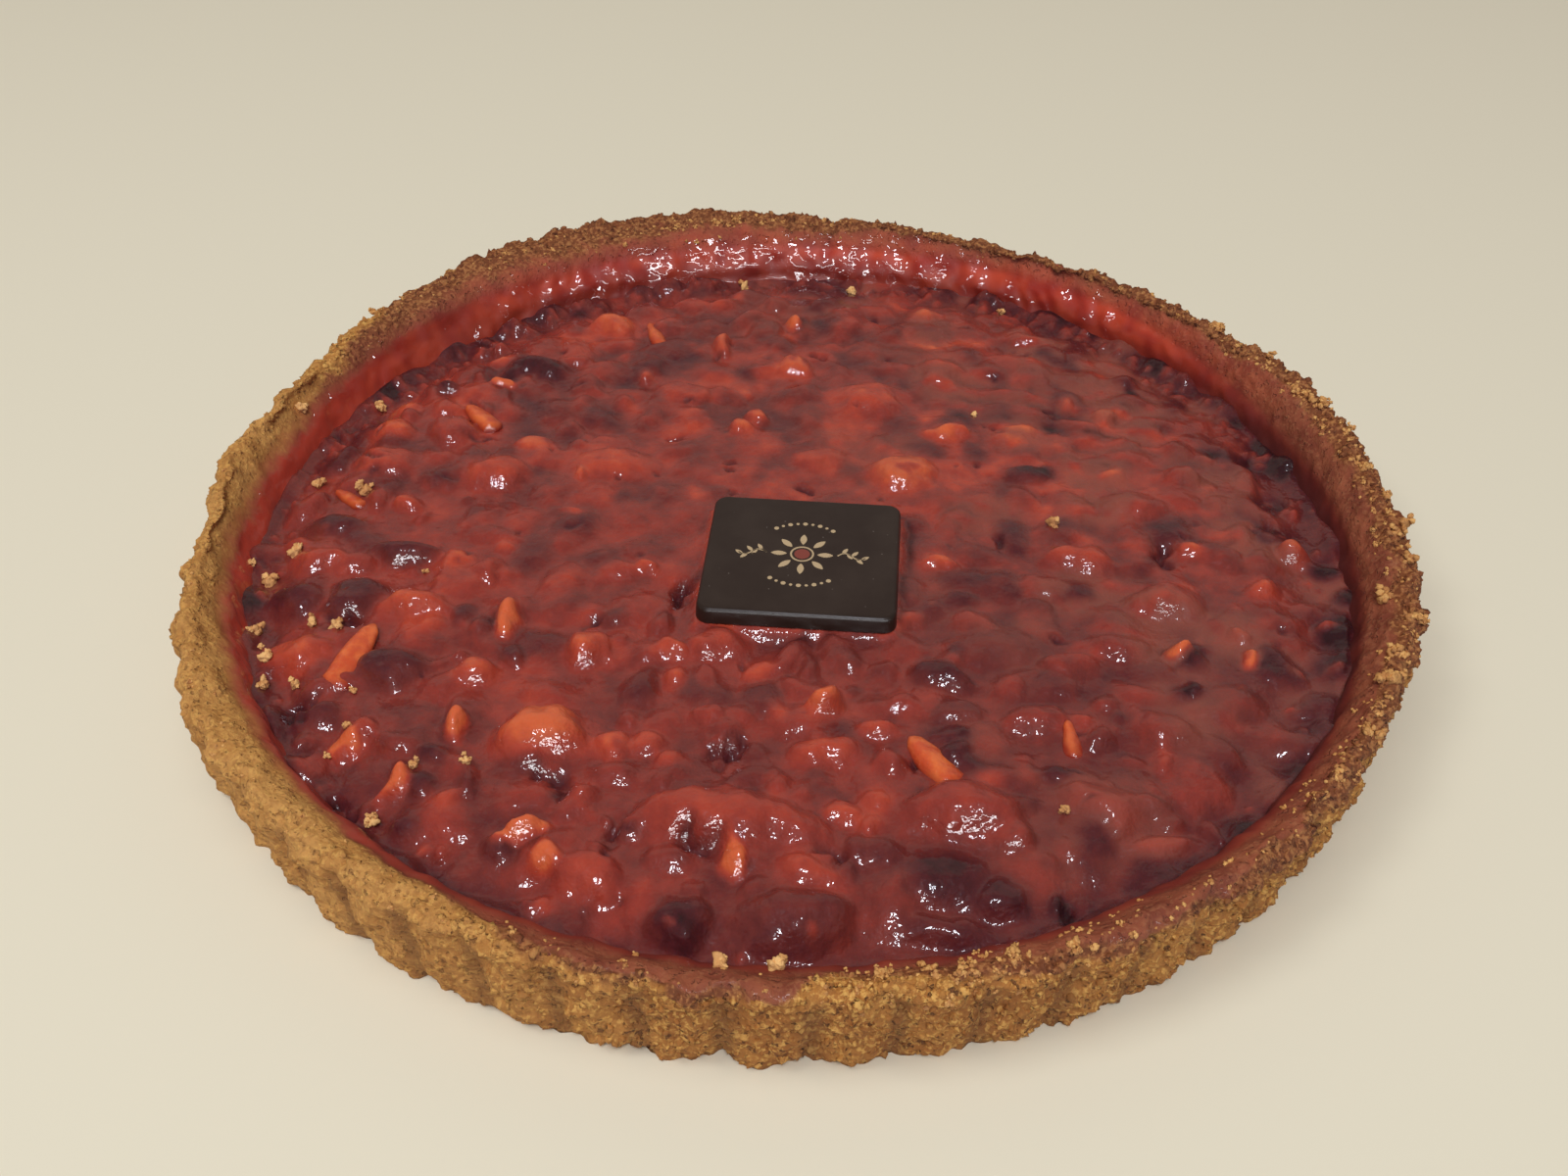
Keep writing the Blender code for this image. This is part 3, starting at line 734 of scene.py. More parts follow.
def seat_plaque(x, y, height):
    """Brings the glaze up to the plaque's underside, so that it lies in it."""
    turned = np.array(plaque_matrix().inverted())
    middle = PLAQUE_CENTRE[2]
    u, v = (row[0] * x + row[1] * y + row[2] * middle + row[3] for row in turned[:2])
    past_side = np.clip(np.abs(u) - PLAQUE_WIDTH / 2, 0, None)
    past_front = np.clip(np.abs(v) - PLAQUE_DEPTH / 2, 0, None)
    outside = np.hypot(past_side, past_front)
    underside = middle - PLAQUE_THICKNESS / 2 + math.sin(PLAQUE_TILT) * v
    seat = smooth_step(SEAT_REACH, 0.3, outside)
    lapped = np.minimum(height, underside + GLAZE_LAP)
    target = np.where(outside > 0, lapped, underside - 0.05)
    lifted = np.maximum(target, underside - 0.35 - 0.8 * outside)
    return height + seat * (lifted - height)


def warped(line, x, y, seed):
    """One of the plane's coordinates, pushed about so that outlines that follow it aren't round."""
    large, small = plane_noise(x, y, 6, seed), plane_noise(x, y, 2.6, seed + 1)
    return line + OUTLINE_WARP * large + 0.6 * small


def bare_land():
    """The grids before any piece is laid, and the warped plane that the outlines follow."""
    line = np.arange(-GRID_HALF, GRID_HALF + GRID_STEP, GRID_STEP)
    x, y = np.meshgrid(line, line)
    radius = np.hypot(x, y)
    edge = wall_radius(np.arctan2(y, x), FILL_EDGE_LEVEL)
    fall = FILL_LEVEL - FILL_EDGE_LEVEL
    level = FILL_LEVEL - fall * smooth_step(edge - EDGE_WIDTH, edge, radius)
    uneven = 0.12 * plane_noise(x, y, 18, 8) + 0.12 * plane_noise(x, y, 6, 9)
    return {
        "x": x,
        "y": y,
        "warped_x": warped(x, x, y, 3),
        "warped_y": warped(y, x, y, 5),
        "to_wall": edge - radius,
        "right": smooth_step(-20, 70, x + 0.3 * y),
        "calm": np.vectorize(calm_share)(x, y),
        "level": level,
        "height": level - 0.6 + 0.5 * plane_noise(x, y, 8, 7),
        "tone": BETWEEN_TONE + uneven * (1 + 0.8 * smooth_step(-20, 50, y)),
    }


def sink_hollow(land, hollow):
    """Presses one ragged hollow into the filling and darkens its tone as painted shade."""
    near = grid_window(hollow[0], hollow[1], hollow[2] + hollow[3])
    x, y = land["x"][near], land["y"][near]
    ragged_x = land["warped_x"][near] + 2.2 * plane_noise(x, y, 2.4, 14)
    ragged_y = land["warped_y"][near] + 2.2 * plane_noise(x, y, 2.4, 15)
    pit = np.exp(-3 * inside_piece(ragged_x, ragged_y, hollow) ** 1.2)
    land["height"][near] -= 0.75 * hollow[5] * pit
    # Painted shade: the hollow's tone is darkened
    land["tone"][near] *= 1 - 0.8 * pit


def pool_glaze(land):
    """Glaze pools between the pieces, higher on the right, climbs the wall and evens the tones."""
    x, y, right, calm = land["x"], land["y"], land["right"], land["calm"]
    pool = land["level"] + blur(land["height"] - land["level"], POOL_REACH)
    pool += 0.4 * right + 0.6 * calm - 0.9 + 0.35 * plane_noise(x, y, 5, 16)
    land["height"] = smooth_max(land["height"], pool, 1.1 + 0.5 * right)
    width = MENISCUS_WIDTH * (1 + 0.8 * right)
    climb = np.exp(-np.clip(land["to_wall"], -0.5, None) / width)
    land["height"] += MENISCUS_RISE * (1 + 0.4 * right) * climb
    contrast = 1 + 0.3 * smooth_step(-40, 20, y + 0.4 * x)
    tone = BETWEEN_TONE + contrast * (blur(land["tone"], 0.9) - BETWEEN_TONE)
    dark_corner = smooth_step(20, 80, x - 0.6 * y)
    land["tone"] = np.clip(tone + 0.07 * calm - 0.09 * dark_corner, 0.1, 1)


def wrinkle_skin(land):
    """Slack folds, strongest on the right, and an uneven skin everywhere."""
    x, y = land["x"], land["y"]
    folds = np.sin((y + 5 * plane_noise(x, y, 22, 10) + 0.18 * x) * TAU / FOLD_SPACING)
    land["height"] += 0.3 * land["right"] * folds * plane_noise(x, y, 14, 11)
    land["height"] += 0.2 * plane_noise(x, y, 3.2, 12) + 0.1 * plane_noise(x, y, 1.5, 13)


def find_crevices(land):
    """Finds how deep each point lies between its neighbours, and where the skin is dull and gets a
    painted sheen.
    """
    x, y, to_wall = land["x"], land["y"], land["to_wall"]
    around = land["level"] + blur(land["height"] - land["level"], 2.2)
    depth = 1.3 - 0.75 * smooth_step(-45, 35, y + 0.5 * x) * smooth_step(5, 12, to_wall)
    # Painted shade: crevices read deeper at the wall's foot
    crevice = np.clip((around - land["height"]) / depth, -1, 1) + 0.2 * smooth_step(2, 0, to_wall)
    even = smooth_step(-0.3, 0, crevice) * smooth_step(0.2, 0.42, land["tone"])
    land["crevice"] = crevice
    land["skin"] = land["right"] * even * smooth_step(-0.3, 0.5, plane_noise(x, y, 13, 17))


def fill_land():
    """The filling's top as grids: its height and tone, its crevices (painted shade) and its dull
    skin (painted sheen).
    """
    land = bare_land()
    draw = random.Random(SEED + 3)
    for pieces, flatness in ((small_mounds(), 2.0), (nut_chips(), 2.2), (named_pieces(), 2.5)):
        for piece, piece_tone in pieces:
            lay_piece(land, piece, piece_tone, flatness, 1, draw)
    pool_glaze(land)
    for hollow in (*HOLLOWS, *small_pits()):
        sink_hollow(land, hollow)
    land["level"] = land["height"] - 1
    for piece in NUT_TIPS:
        tip = piece[:5] + (piece[5] * 0.75,)
        lay_piece(land, tip, draw.uniform(0.7, 0.92), 2.4, 0.5, draw)
    for bubble, bubble_tone in edge_bubbles():
        lay_piece(land, bubble, bubble_tone, 2, 0.5, draw)
    wrinkle_skin(land)
    land["height"] = seat_plaque(land["x"], land["y"], land["height"])
    # Painted shade: the filling darkens towards the wall
    land["tone"] -= 0.16 * smooth_step(8, 1, land["to_wall"])
    find_crevices(land)
    return land


def disc_net(rings):
    """An even net of triangles over a disc: the points' shares of the radius, angles and faces."""
    shares, angles = [0.0], [0.0]
    for ring in range(1, rings + 1):
        corners = 6 * ring
        shares += [ring / rings] * corners
        angles += [TAU * corner / corners for corner in range(corners)]
    faces = []
    for ring in range(1, rings + 1):
        outer_start = 1 + 3 * ring * (ring - 1)
        inner_count = 6 * (ring - 1)
        inner_start = 1 + 3 * (ring - 1) * (ring - 2) if ring > 1 else 0
        for side in range(6):
            for step in range(ring):
                outer = outer_start + side * ring + step
                after = outer_start + (side * ring + step + 1) % (6 * ring)
                inner = inner_start + (side * (ring - 1) + step) % max(inner_count, 1)
                faces.append((outer, after, inner))
                if step < ring - 1:
                    beside = inner_start + (side * (ring - 1) + step + 1) % inner_count
                    faces.append((inner, after, beside))
    return np.array(shares), np.array(angles), faces


def make_filling(land):
    """The filling's lumpy top, with a plain side and underside that close it inside the case."""
    shares, angle, faces = disc_net(FILL_RINGS)
    radius = shares * (wall_radius(angle, FILL_EDGE_LEVEL) + WALL_OVERLAP)
    x, y = radius * np.cos(angle), radius * np.sin(angle)
    top = np.stack((x, y, read_grid(land["height"], x, y)), axis=1)
    rim_count = 6 * FILL_RINGS
    rim_start = len(top) - rim_count
    foot = top[rim_start:].copy()
    foot[:, 2] = FLOOR_THICKNESS + 0.3
    foot[:, :2] *= 0.97
    foot_start, middle = len(top), len(top) + rim_count
    for step in range(rim_count):
        after = (step + 1) % rim_count
        faces.append((foot_start + step, foot_start + after, rim_start + after, rim_start + step))
        faces.append((middle, foot_start + after, foot_start + step))
    points = np.vstack((top, foot, ((0, 0, FLOOR_THICKNESS + 0.3),)))
    padding = np.zeros(rim_count + 1)
    attributes = [
        (label, np.concatenate((read_grid(land[label], x, y), padding)))
        for label in ("tone", "crevice", "skin")
    ]
    return mesh_object("tart_filling", points, faces, attributes)


# Small solids


def ball(subdivisions):
    """The points and faces of a small ball of radius 1."""
    mesh = bpy.data.meshes.new("ball")
    bm = bmesh.new()
    bmesh.ops.create_icosphere(bm, subdivisions=subdivisions, radius=1)
    bm.to_mesh(mesh)
    bm.free()
    points = np.array([tuple(vertex.co) for vertex in mesh.vertices])
    faces = [tuple(face.vertices) for face in mesh.polygons]
    bpy.data.meshes.remove(mesh)
    return points, faces


class Heap:
    """Gathers small closed bodies into one mesh that stays inside a box."""

    def __init__(self, box):
        self.box = box
        self.points, self.faces, self.values = [], [], []
        self.count = 0

    def add(self, points, faces, values):
        """Takes one body, with a value for each attribute or a row of them for each point."""
        rows = np.atleast_2d(values)
        self.points.append(np.clip(points, *self.box))
        self.faces += [tuple(corner + self.count for corner in face) for face in faces]
        self.values.append(np.broadcast_to(rows, (len(points), rows.shape[1])))
        self.count += len(points)

    def build(self, name, *labels):
        attributes = list(zip(labels, np.vstack(self.values).T))
        return mesh_object(name, np.vstack(self.points), self.faces, attributes)


def turned(points, turn):
    """Points turned about +Z, in degrees."""
    x, y = rotated(points[:, 0], points[:, 1], math.radians(turn))
    return np.stack((x, y, points[:, 2]), axis=1)


def tube(sections):
    """Closes equal rings of points into one skin."""
    middles = [[sections[0].mean(axis=0)], [sections[-1].mean(axis=0)]]
    return np.vstack(sections + middles), skin_faces(len(sections), len(sections[0]))


def sliver_sections(length, width, draw):
    """Boxy cross-sections from a nut sliver's broad end to its blunt point."""
    angle = np.arange(24) * TAU / 24
    twist = draw.uniform(0.5, 0.9)
    box = (np.abs(np.cos(angle)) ** 3 + np.abs(np.sin(angle)) ** 3) ** (-1 / 3)
    sections = []
    for share in np.linspace(0, 1, 26):
        ends = min(1, math.sqrt((share + 0.004) / 0.12), math.sqrt((1.004 - share) / 0.12))
        size = ends * (1.05 - 0.55 * share + 0.08 * math.sin(share * 7 + twist * 7))
        side = size * box * np.cos(angle) * width * 0.52
        top = size * box * np.sin(angle) * width * 0.36
        turned_side = side * math.cos(twist) - top * math.sin(twist)
        turned_top = side * math.sin(twist) * 0.6 + top * math.cos(twist)
        along = (share - 0.5) * length + 0.25 * turned_side * (0.5 - share)
        sections.append(np.stack((along, turned_side, turned_top), axis=1))
    return sections


def make_slivers(land, box):
    """Bare slivers of nut, half sunk in the glaze."""
    heap = Heap(box)
    draw = random.Random(SEED + 4)
    for x, y, length, width, turn, raised in SLIVERS:
        points, faces = tube(sliver_sections(length, width, draw))
        along, up = rotated(points[:, 0], points[:, 2], math.radians(raised))
        points = turned(np.stack((along, points[:, 1], up), axis=1), turn)
        level = read_grid(land["height"], np.array([float(x)]), np.array([float(y)]))[0]
        points += (x, y, level)
        heap.add(points, faces, smooth_step(level - 0.4, level + 1.6, points[:, 2:]))
    return heap.build("nut_slivers", "bare")


class Crumbs(Heap):
    """A heap of uneven crumbs, each of them a small ball pushed in and out."""

    def __init__(self, box, subdivisions, seed):
        super().__init__(box)
        self.shape, self.ball_faces = ball(subdivisions)
        self.draw = random.Random(seed)

    def vector(self, low, high):
        return np.array([self.draw.uniform(low, high) for _ in range(3)])

    def crumb(self, size):
        """The points of one crumb of about this size."""
        swell = 1 + 0.8 * rough(self.shape + self.vector(0, 90), 0.8, 2)
        pushed = self.shape * swell[:, None] * self.vector(0.7, 1.2)
        return turned(pushed * size / 2, self.draw.uniform(0, 360))

    def put(self, points, *values):
        self.add(points, self.ball_faces, values)

    def cluster(self, place, size):
        """A crumb with smaller ones stuck to it."""
        draw, reach = self.draw, size * 0.42
        shade = draw.uniform(0, 1)
        self.put(self.crumb(size * 0.75) + place, shade)
        for _ in range(draw.randint(2, 5)):
            shift = np.array([draw.uniform(lowest, reach) for lowest in (-reach, -reach, 0)])
            points = self.crumb(size * draw.uniform(0.3, 0.5)) + place + shift
            self.put(points, draw.uniform(0, 1))


def surface_tree(objects):
    """Rays are cast at these meshes, in millimetres."""
    points, faces = [], []
    for obj in objects:
        start = len(points)
        points += [vertex.co / METRES for vertex in obj.data.vertices]
        faces += [tuple(start + corner for corner in face.vertices) for face in obj.data.polygons]
    return BVHTree.FromPolygons(points, faces)


def drop(tree, x, y):
    """Where a ray down from above meets the tart, or None."""
    return tree.ray_cast(Vector((x, y, ABOVE)), Vector((0, 0, -1)))[0]


def make_loose_crumbs(tree, box):
    """Loose crumbs on the filling and its wall, where CRUMBS says."""
    crumbs = Crumbs(box, 3, SEED + 5)
    for x, y, size in CRUMBS:
        hit = drop(tree, x, y)
        if hit:
            crumbs.cluster(np.array(hit) + (0, 0, size * 0.18), size)
    return crumbs.build("loose_crumbs", "shade")


def read_crust(crust):
    """The crust's points, normals and layers, one row for each point."""
    mesh = crust.data
    count = len(mesh.vertices)
    places, normals = np.empty(3 * count), np.empty(3 * count)
    mesh.vertices.foreach_get("co", places)
    mesh.vertices.foreach_get("normal", normals)
    layers = np.empty((len(CRUST_LAYERS), count), dtype=np.float32)
    for row, label in zip(layers, CRUST_LAYERS):
        mesh.attributes[label].data.foreach_get("value", row)
    return places.reshape(-1, 3) / METRES, normals.reshape(-1, 3), layers.T


def make_grains(crust, box):
    """Crumbs baked onto the case, half sunk in it, with its own colours where they sit."""
    crumbs = Crumbs(box, 1, SEED + 7)
    places, normals, layers = read_crust(crust)
    wanted = ("over", "glaze", "pale")
    over, glaze, pale = (layers[:, CRUST_LAYERS.index(label)] for label in wanted)
    outside = np.flatnonzero((over > 0.5) & (places[:, 2] > 0.3))
    for _ in range(GRAINS):
        vertex = outside[crumbs.draw.randrange(len(outside))]
        grain = crumbs.draw.choice(GRAIN_SIZES)
        sunk = grain * (0.15 + 0.35 * glaze[vertex] + 0.2 * pale[vertex])
        points = crumbs.crumb(grain) + places[vertex] - normals[vertex] * sunk
        crumbs.put(points, *layers[vertex], crumbs.draw.uniform(-1, 1))
    return crumbs.build("baked_grains", *CRUST_LAYERS, "tint")


def add_rim_clusters(crumbs, tree):
    """Clumps of crumbs on the rim, where RIM_CLUSTERS says."""
    for direction, radius, size in RIM_CLUSTERS:
        hit = drop(tree, *on_circle(radius, math.radians(direction)))
        if hit:
            place = np.array(hit)
            place[2] = min(place[2], crumbs.box[1][2] - size * 0.5)
            for _ in range(3):
                shift = crumbs.vector(-0.35, 0.35) * size * (1, 1, 0.3)
                crumbs.cluster(place + shift, size * 0.6)


def rim_ray(angle, draw):
    """The start and direction of a ray: down onto the rim in most cases, else in from outside."""
    outward = Vector((math.cos(angle), math.sin(angle), 0))
    if draw.random() < 0.75:
        return outward * draw.uniform(*RIM_TOP) + Vector((0, 0, ABOVE)), Vector((0, 0, -1))
    return outward * BEYOND + Vector((0, 0, draw.uniform(*RIM_SIDE))), -outward


def make_rim_crumbs(tree, box):
    """Crumbs and grains stuck all over the rim's top and its outer shoulder."""
    crumbs = Crumbs(box, 2, SEED + 6)
    draw = crumbs.draw
    add_rim_clusters(crumbs, tree)
    for start, end, count, size in RIM_CRUMBS:
        for _ in range(count):
            angle = math.radians(draw.uniform(start, end))
            grain = size * draw.choice(RIM_CRUMB_SHARES)
            origin, direction = rim_ray(angle, draw)
            hit = tree.ray_cast(origin, direction)[0]
            if not hit or hit.z <= SHOULDER_HEIGHT - 2:
                continue
            place = np.array(hit) + np.array(direction) * grain * 0.1
            place[2] = min(place[2], box[1][2] - grain)
            if grain > 0.6 * size:
                crumbs.cluster(place, grain)
            else:
                crumbs.put(crumbs.crumb(grain) + place, draw.uniform(0, 1))
    return crumbs.build("rim_crumbs", "shade")


# Plaque


def round_edges(bm, edges, radius, segments):
    bmesh.ops.bevel(bm, geom=edges, offset=radius, segments=segments, affect="EDGES", profile=0.5)


def make_plaque():
    """A thin moulded slab: round corners, sides that lean a little and a softened upper edge."""
    bm = bmesh.new()
    bmesh.ops.create_cube(bm, size=1)
    size = Vector((PLAQUE_WIDTH, PLAQUE_DEPTH, PLAQUE_THICKNESS))
    bmesh.ops.scale(bm, verts=bm.verts[:], vec=size)
    upright = [edge for edge in bm.edges if abs(edge.verts[0].co.z - edge.verts[1].co.z) > 1]
    round_edges(bm, upright, PLAQUE_CORNER, 10)
    for side, radius, segments in ((1, PLAQUE_EDGE, 6), (-1, PLAQUE_FOOT, 3)):
        level = [edge for edge in bm.edges if all(vertex.co.z * side > 1 for vertex in edge.verts)]
        round_edges(bm, level, radius, segments)
    for vertex in bm.verts:
        lean = 1 - PLAQUE_DRAFT * (vertex.co.z / PLAQUE_THICKNESS + 0.5)
        vertex.co.x *= lean
        vertex.co.y *= lean
    bmesh.ops.transform(bm, matrix=Matrix.Scale(METRES, 4) @ plaque_matrix(), verts=bm.verts[:])
    mesh = bpy.data.meshes.new("chocolate_plaque")
    bm.to_mesh(mesh)
    bm.free()
    mesh.shade_smooth()
    mesh.set_sharp_from_angle(angle=math.radians(35))
    return placed("chocolate_plaque", mesh)


def leaf(x, y, length, width, turn):
    """A pointed leaf's outline, from its tip round and back."""
    angle = math.radians(turn)
    outline = []
    for step in range(24):
        share = step / 12 if step <= 12 else (24 - step) / 12
        side = 1 if step <= 12 else -1
        u, v = share * length, side * width / 2 * math.sin(math.pi * share) ** 0.8
        across, along = rotated(u, v, angle)
        outline.append((x + across, y + along))
    return outline


def circle(radius, count=40):
    return [on_circle(radius, TAU * step / count) for step in range(count)]


def stroke(points, width):
    """A line of even width through these points, as an outline."""
    line = np.array(points)
    direction = np.gradient(line, axis=0)
    direction /= np.linalg.norm(direction, axis=1, keepdims=True)
    side = np.stack((-direction[:, 1], direction[:, 0]), axis=1) * width / 2
    return [tuple(point) for point in np.vstack((line + side, (line - side)[::-1]))]


def flat_print(name, outlines):
    """Flat shapes printed on the plaque, each a thin closed slab."""
    curve = bpy.data.curves.new(name, "CURVE")
    curve.dimensions = "2D"
    curve.fill_mode = "BOTH"
    curve.extrude = PRINT_THICKNESS / 2
    for outline in outlines:
        spline = curve.splines.new("POLY")
        spline.points.add(len(outline) - 1)
        for point, (x, y) in zip(spline.points, outline):
            point.co = (x, y, 0, 1)
        spline.use_cyclic_u = True
    drawn = placed(name, curve)
    graph = bpy.context.evaluated_depsgraph_get()
    mesh = bpy.data.meshes.new_from_object(drawn.evaluated_get(graph))
    bpy.data.objects.remove(drawn)
    top = Matrix.Translation((0, 0, PLAQUE_THICKNESS / 2 + PRINT_LIFT))
    mesh.transform(Matrix.Scale(METRES, 4) @ plaque_matrix() @ top)
    return placed(name, mesh)


def ornament_outlines():
    """A rosette between two sprigs, with a dotted arc above and below."""
    shapes = [circle(2.3), circle(1.95)]
    for turn in range(0, 360, 45):
        shapes.append(leaf(*on_circle(2.9, math.radians(turn)), 3.1, 1.3, turn))
    for side in (-1, 1):
        stem = [(side * (6.8 + 0.45 * step), 0.9 * math.sin(step * 0.5)) for step in range(13)]
        shapes.append(stroke(stem, 0.28))
        for step, turn in ((2, 60), (4, -55), (6, 50), (8, -45), (10, 35)):
            x, y = stem[step]
            direction = turn if side > 0 else 180 - turn
            shapes.append(leaf(x, y, 1.9, 0.8, direction))
    for side in (-1, 1):
        for step in range(-4, 5):
            x, y = on_circle(9.4, math.radians(90 * side + 9 * step))
            size = 0.32 if step % 2 else 0.48
            shapes.append([(x + size * u, y + size * v) for u, v in circle(1, 14)])
    return shapes


# Materials


class Shader:
    """A Principled material whose nodes are added one call at a time."""

    def __init__(self, name):
        self.material = bpy.data.materials.new(name)
        self.material.use_nodes = True
        self.tree = self.material.node_tree
        self.surface = self.tree.nodes["Principled BSDF"]

    def feed(self, socket, value):
        if isinstance(value, bpy.types.NodeSocket):
            self.tree.links.new(value, socket)
        elif isinstance(value, tuple) and len(value) == 3 and socket.type == "RGBA":
            socket.default_value = (*value, 1)
        else:
            socket.default_value = value

    def set(self, **values):
        for label, value in values.items():
            self.feed(self.surface.inputs[label.replace("_", " ")], value)

    def add(self, kind, inputs=(), **settings):
        made = self.tree.nodes.new("ShaderNode" + kind)
        for label, value in settings.items():
            setattr(made, label, value)
        for socket, value in inputs:
            self.feed(made.inputs[socket], value)
        return made

    def attribute(self, label):
        return self.add("Attribute", attribute_name=label).outputs["Fac"]

    def place(self):
        return self.add("TexCoord").outputs["Object"]

    def noise(self, size, detail=3, roughness=0.55, output="Fac"):
        """Noise from 0 to 1 with features of about this many millimetres."""
        inputs = (
            ("Vector", self.place()), ("Scale", 1 / (size * METRES)), ("Detail", detail),
            ("Roughness", roughness),
        )
        return self.add("TexNoise", inputs).outputs[output]

    def shifted_place(self, size, reach):
        """The place, pushed about by noise of this size so that no pattern on it stays regular."""
        shift = self.noise(size, 1, 0.5, "Color")
        inputs = ((0, shift), (1, (reach * METRES,) * 3), (2, self.place()))
        return self.add("VectorMath", inputs, operation="MULTIPLY_ADD").outputs[0]

    def cells(self, size, output, place):
        """Soft cells of about this many millimetres: their colours, or the way to their middles."""
        inputs = (("Vector", place), ("Scale", 1 / (size * METRES)), ("Smoothness", 0.5))
        return self.add("TexVoronoi", inputs, feature="SMOOTH_F1").outputs[output]

    def math(self, operation, first, second):
        return self.add("Math", ((0, first), (1, second)), operation=operation).outputs[0]

    def plus(self, first, second):
        return self.math("ADD", first, second)

    def minus(self, first, second):
        return self.math("SUBTRACT", first, second)

    def times(self, first, second):
        return self.math("MULTIPLY", first, second)

    def span(self, value, low, high, to_low=0.0, to_high=1.0):
        """Maps a range smoothly onto another."""
        inputs = (
            ("Value", value), ("From Min", low), ("From Max", high), ("To Min", to_low),
            ("To Max", to_high),
        )
        return self.add("MapRange", inputs, interpolation_type="SMOOTHSTEP").outputs[0]

    def patches(self, size, detail, *spans):
        """Soft patches of about this many millimetres, mapped as span does."""
        return self.span(self.noise(size, detail), *spans)

    def mix(self, share, first, second):
        """From the first colour to the second one as the share goes from 0 to 1."""
        made = self.add("Mix", data_type="RGBA")
        for socket, value in ((0, share), (6, first), (7, second)):
            self.feed(made.inputs[socket], value)
        return made.outputs[2]

    def ramp(self, value, stops):
        made = self.add("ValToRGB", (("Fac", value),))
        elements = made.color_ramp.elements
        while len(elements) < len(stops):
            elements.new(0.5)
        for element, (position, colour) in zip(elements, stops):
            element.position = position
            element.color = (*colour, 1)
        return made.outputs["Color"]

    def bump(self, height, distance, under=None):
        """Relief of this many millimetres for each unit of height."""
        inputs = [("Height", height), ("Distance", distance * METRES)]
        if under:
            inputs.append(("Normal", under))
        return self.add("Bump", inputs).outputs["Normal"]


def crumb_colour(shader, layer, shade, light, pore):
    """Golden crumb, paler on the left and red-brown where it is soaked."""
    patchy = shader.patches(9, 3, 0.35, 0.65)
    golden = shader.mix(patchy, (0.46, 0.195, 0.042), (0.37, 0.137, 0.027))
    palest = shader.mix(patchy, (0.55, 0.268, 0.074), (0.46, 0.206, 0.050))
    crumb = shader.mix(layer["pale"], golden, palest)
    # Own tone with painted light and shade: raised crumbs lighter, low ones and pores darker
    crumb = shader.mix(light, crumb, (0.75, 0.41, 0.108))
    crumb = shader.mix(shader.span(shade, 0.48, 0.3, 0, 0.35), crumb, (0.25, 0.092, 0.023))
    crumb = shader.mix(pore, crumb, (0.17, 0.060, 0.016))
    # Painted shade in the flutes' creases
    crumb = shader.mix(shader.times(layer["crease"], 0.5), crumb, (0.16, 0.058, 0.017))
    soaked = shader.mix(shader.span(shade, 0.4, 0.6), (0.14, 0.034, 0.014), (0.28, 0.085, 0.033))
    soaked = shader.mix(shader.times(light, 0.6), soaked, (0.40, 0.17, 0.060))
    return shader.mix(shader.times(layer["soak"], 0.85), crumb, soaked)


def glaze_colour(shader, layer, light, gloss):
    """Red where the glaze is wet, dull red-brown where it isn't, painted near black as shade deep
    in the case.
    """
    patch = shader.patches(6, 1, 0.3, 0.7)
    red = shader.mix(patch, (0.40, 0.026, 0.013), (0.58, 0.060, 0.021))
    # Painted light: the glaze on the left inner wall is a brighter red, as if lit
    red = shader.mix(layer["pale"], red, (0.62, 0.062, 0.030))
    # Painted shade at the foot of the inner wall
    red = shader.mix(layer["deep"], red, (0.085, 0.007, 0.006))
    # A pale pink film: real at the back, painted light on the left
    red = shader.mix(shader.times(layer["film"], 0.6), red, (0.38, 0.10, 0.055))
    dull = shader.mix(patch, (0.12, 0.015, 0.009), (0.19, 0.030, 0.016))
    on_rim = shader.mix(patch, (0.17, 0.046, 0.021), (0.26, 0.082, 0.036))
    on_rim = shader.mix(shader.times(light, 0.6), on_rim, (0.34, 0.14, 0.06))
    dull = shader.mix(layer["over"], dull, on_rim)
    # Painted shade at the foot of the inner wall
    dull = shader.mix(layer["deep"], dull, (0.075, 0.008, 0.006))
    return shader.mix(gloss, dull, red)


def crust_material():
    """Golden crumb outside, red-brown where it is soaked, and red and glossy where it is glazed."""
    shader = Shader("baked_shortcrust")
    layer = {label: shader.attribute(label) for label in (*CRUST_LAYERS, "tint")}
    over, glaze = layer["over"], layer["glaze"]

    # Every crumb has a shade of its own, and the pores between them are painted dark as shade
    place = shader.shifted_place(1.1, 0.4)
    shade = shader.mix(0.65, shader.cells(0.7, "Color", place), shader.noise(0.9, 3, 0.65))
    shade = shader.plus(shade, shader.times(layer["tint"], 0.12))
    contrast = shader.span(layer["pale"], 0, 1, 0.9, 0.5)
    light = shader.span(shade, 0.46, 0.68, 0, contrast)
    pore = shader.patches(1.2, 2, 0.40, 0.29, 0, contrast)
    crumb = crumb_colour(shader, layer, shade, light, pore)

    gloss = shader.times(layer["gloss"], shader.span(over, 0, 1, 1, 0.5))
    colour = shader.mix(glaze, crumb, glaze_colour(shader, layer, light, gloss))
    wet = shader.times(shader.times(glaze, gloss), shader.span(layer["film"], 0, 1, 1, 0.3))
    smoothing = shader.times(glaze, shader.span(over, 0, 1, 0.92, 0.3))
    strength = shader.times(shader.minus(1.0, smoothing), shader.span(over, 0, 1, 0.3, 1))
    grain = shader.times(shader.minus(shade, pore), strength)
    beads = shader.times(shader.noise(5.0, 2, 0.4), wet)
    shader.set(
        Base_Color=colour, Normal=shader.bump(grain, 0.5), Coat_Normal=shader.bump(beads, 2.4),
        Roughness=shader.minus(0.88, shader.times(wet, 0.4)), Specular_IOR_Level=0.3,
        Coat_Weight=wet, Coat_Roughness=0.05,
        Subsurface_Weight=0.06, Subsurface_Radius=(1.0, 0.4, 0.2), Subsurface_Scale=0.0015,
    )
    return shader.material


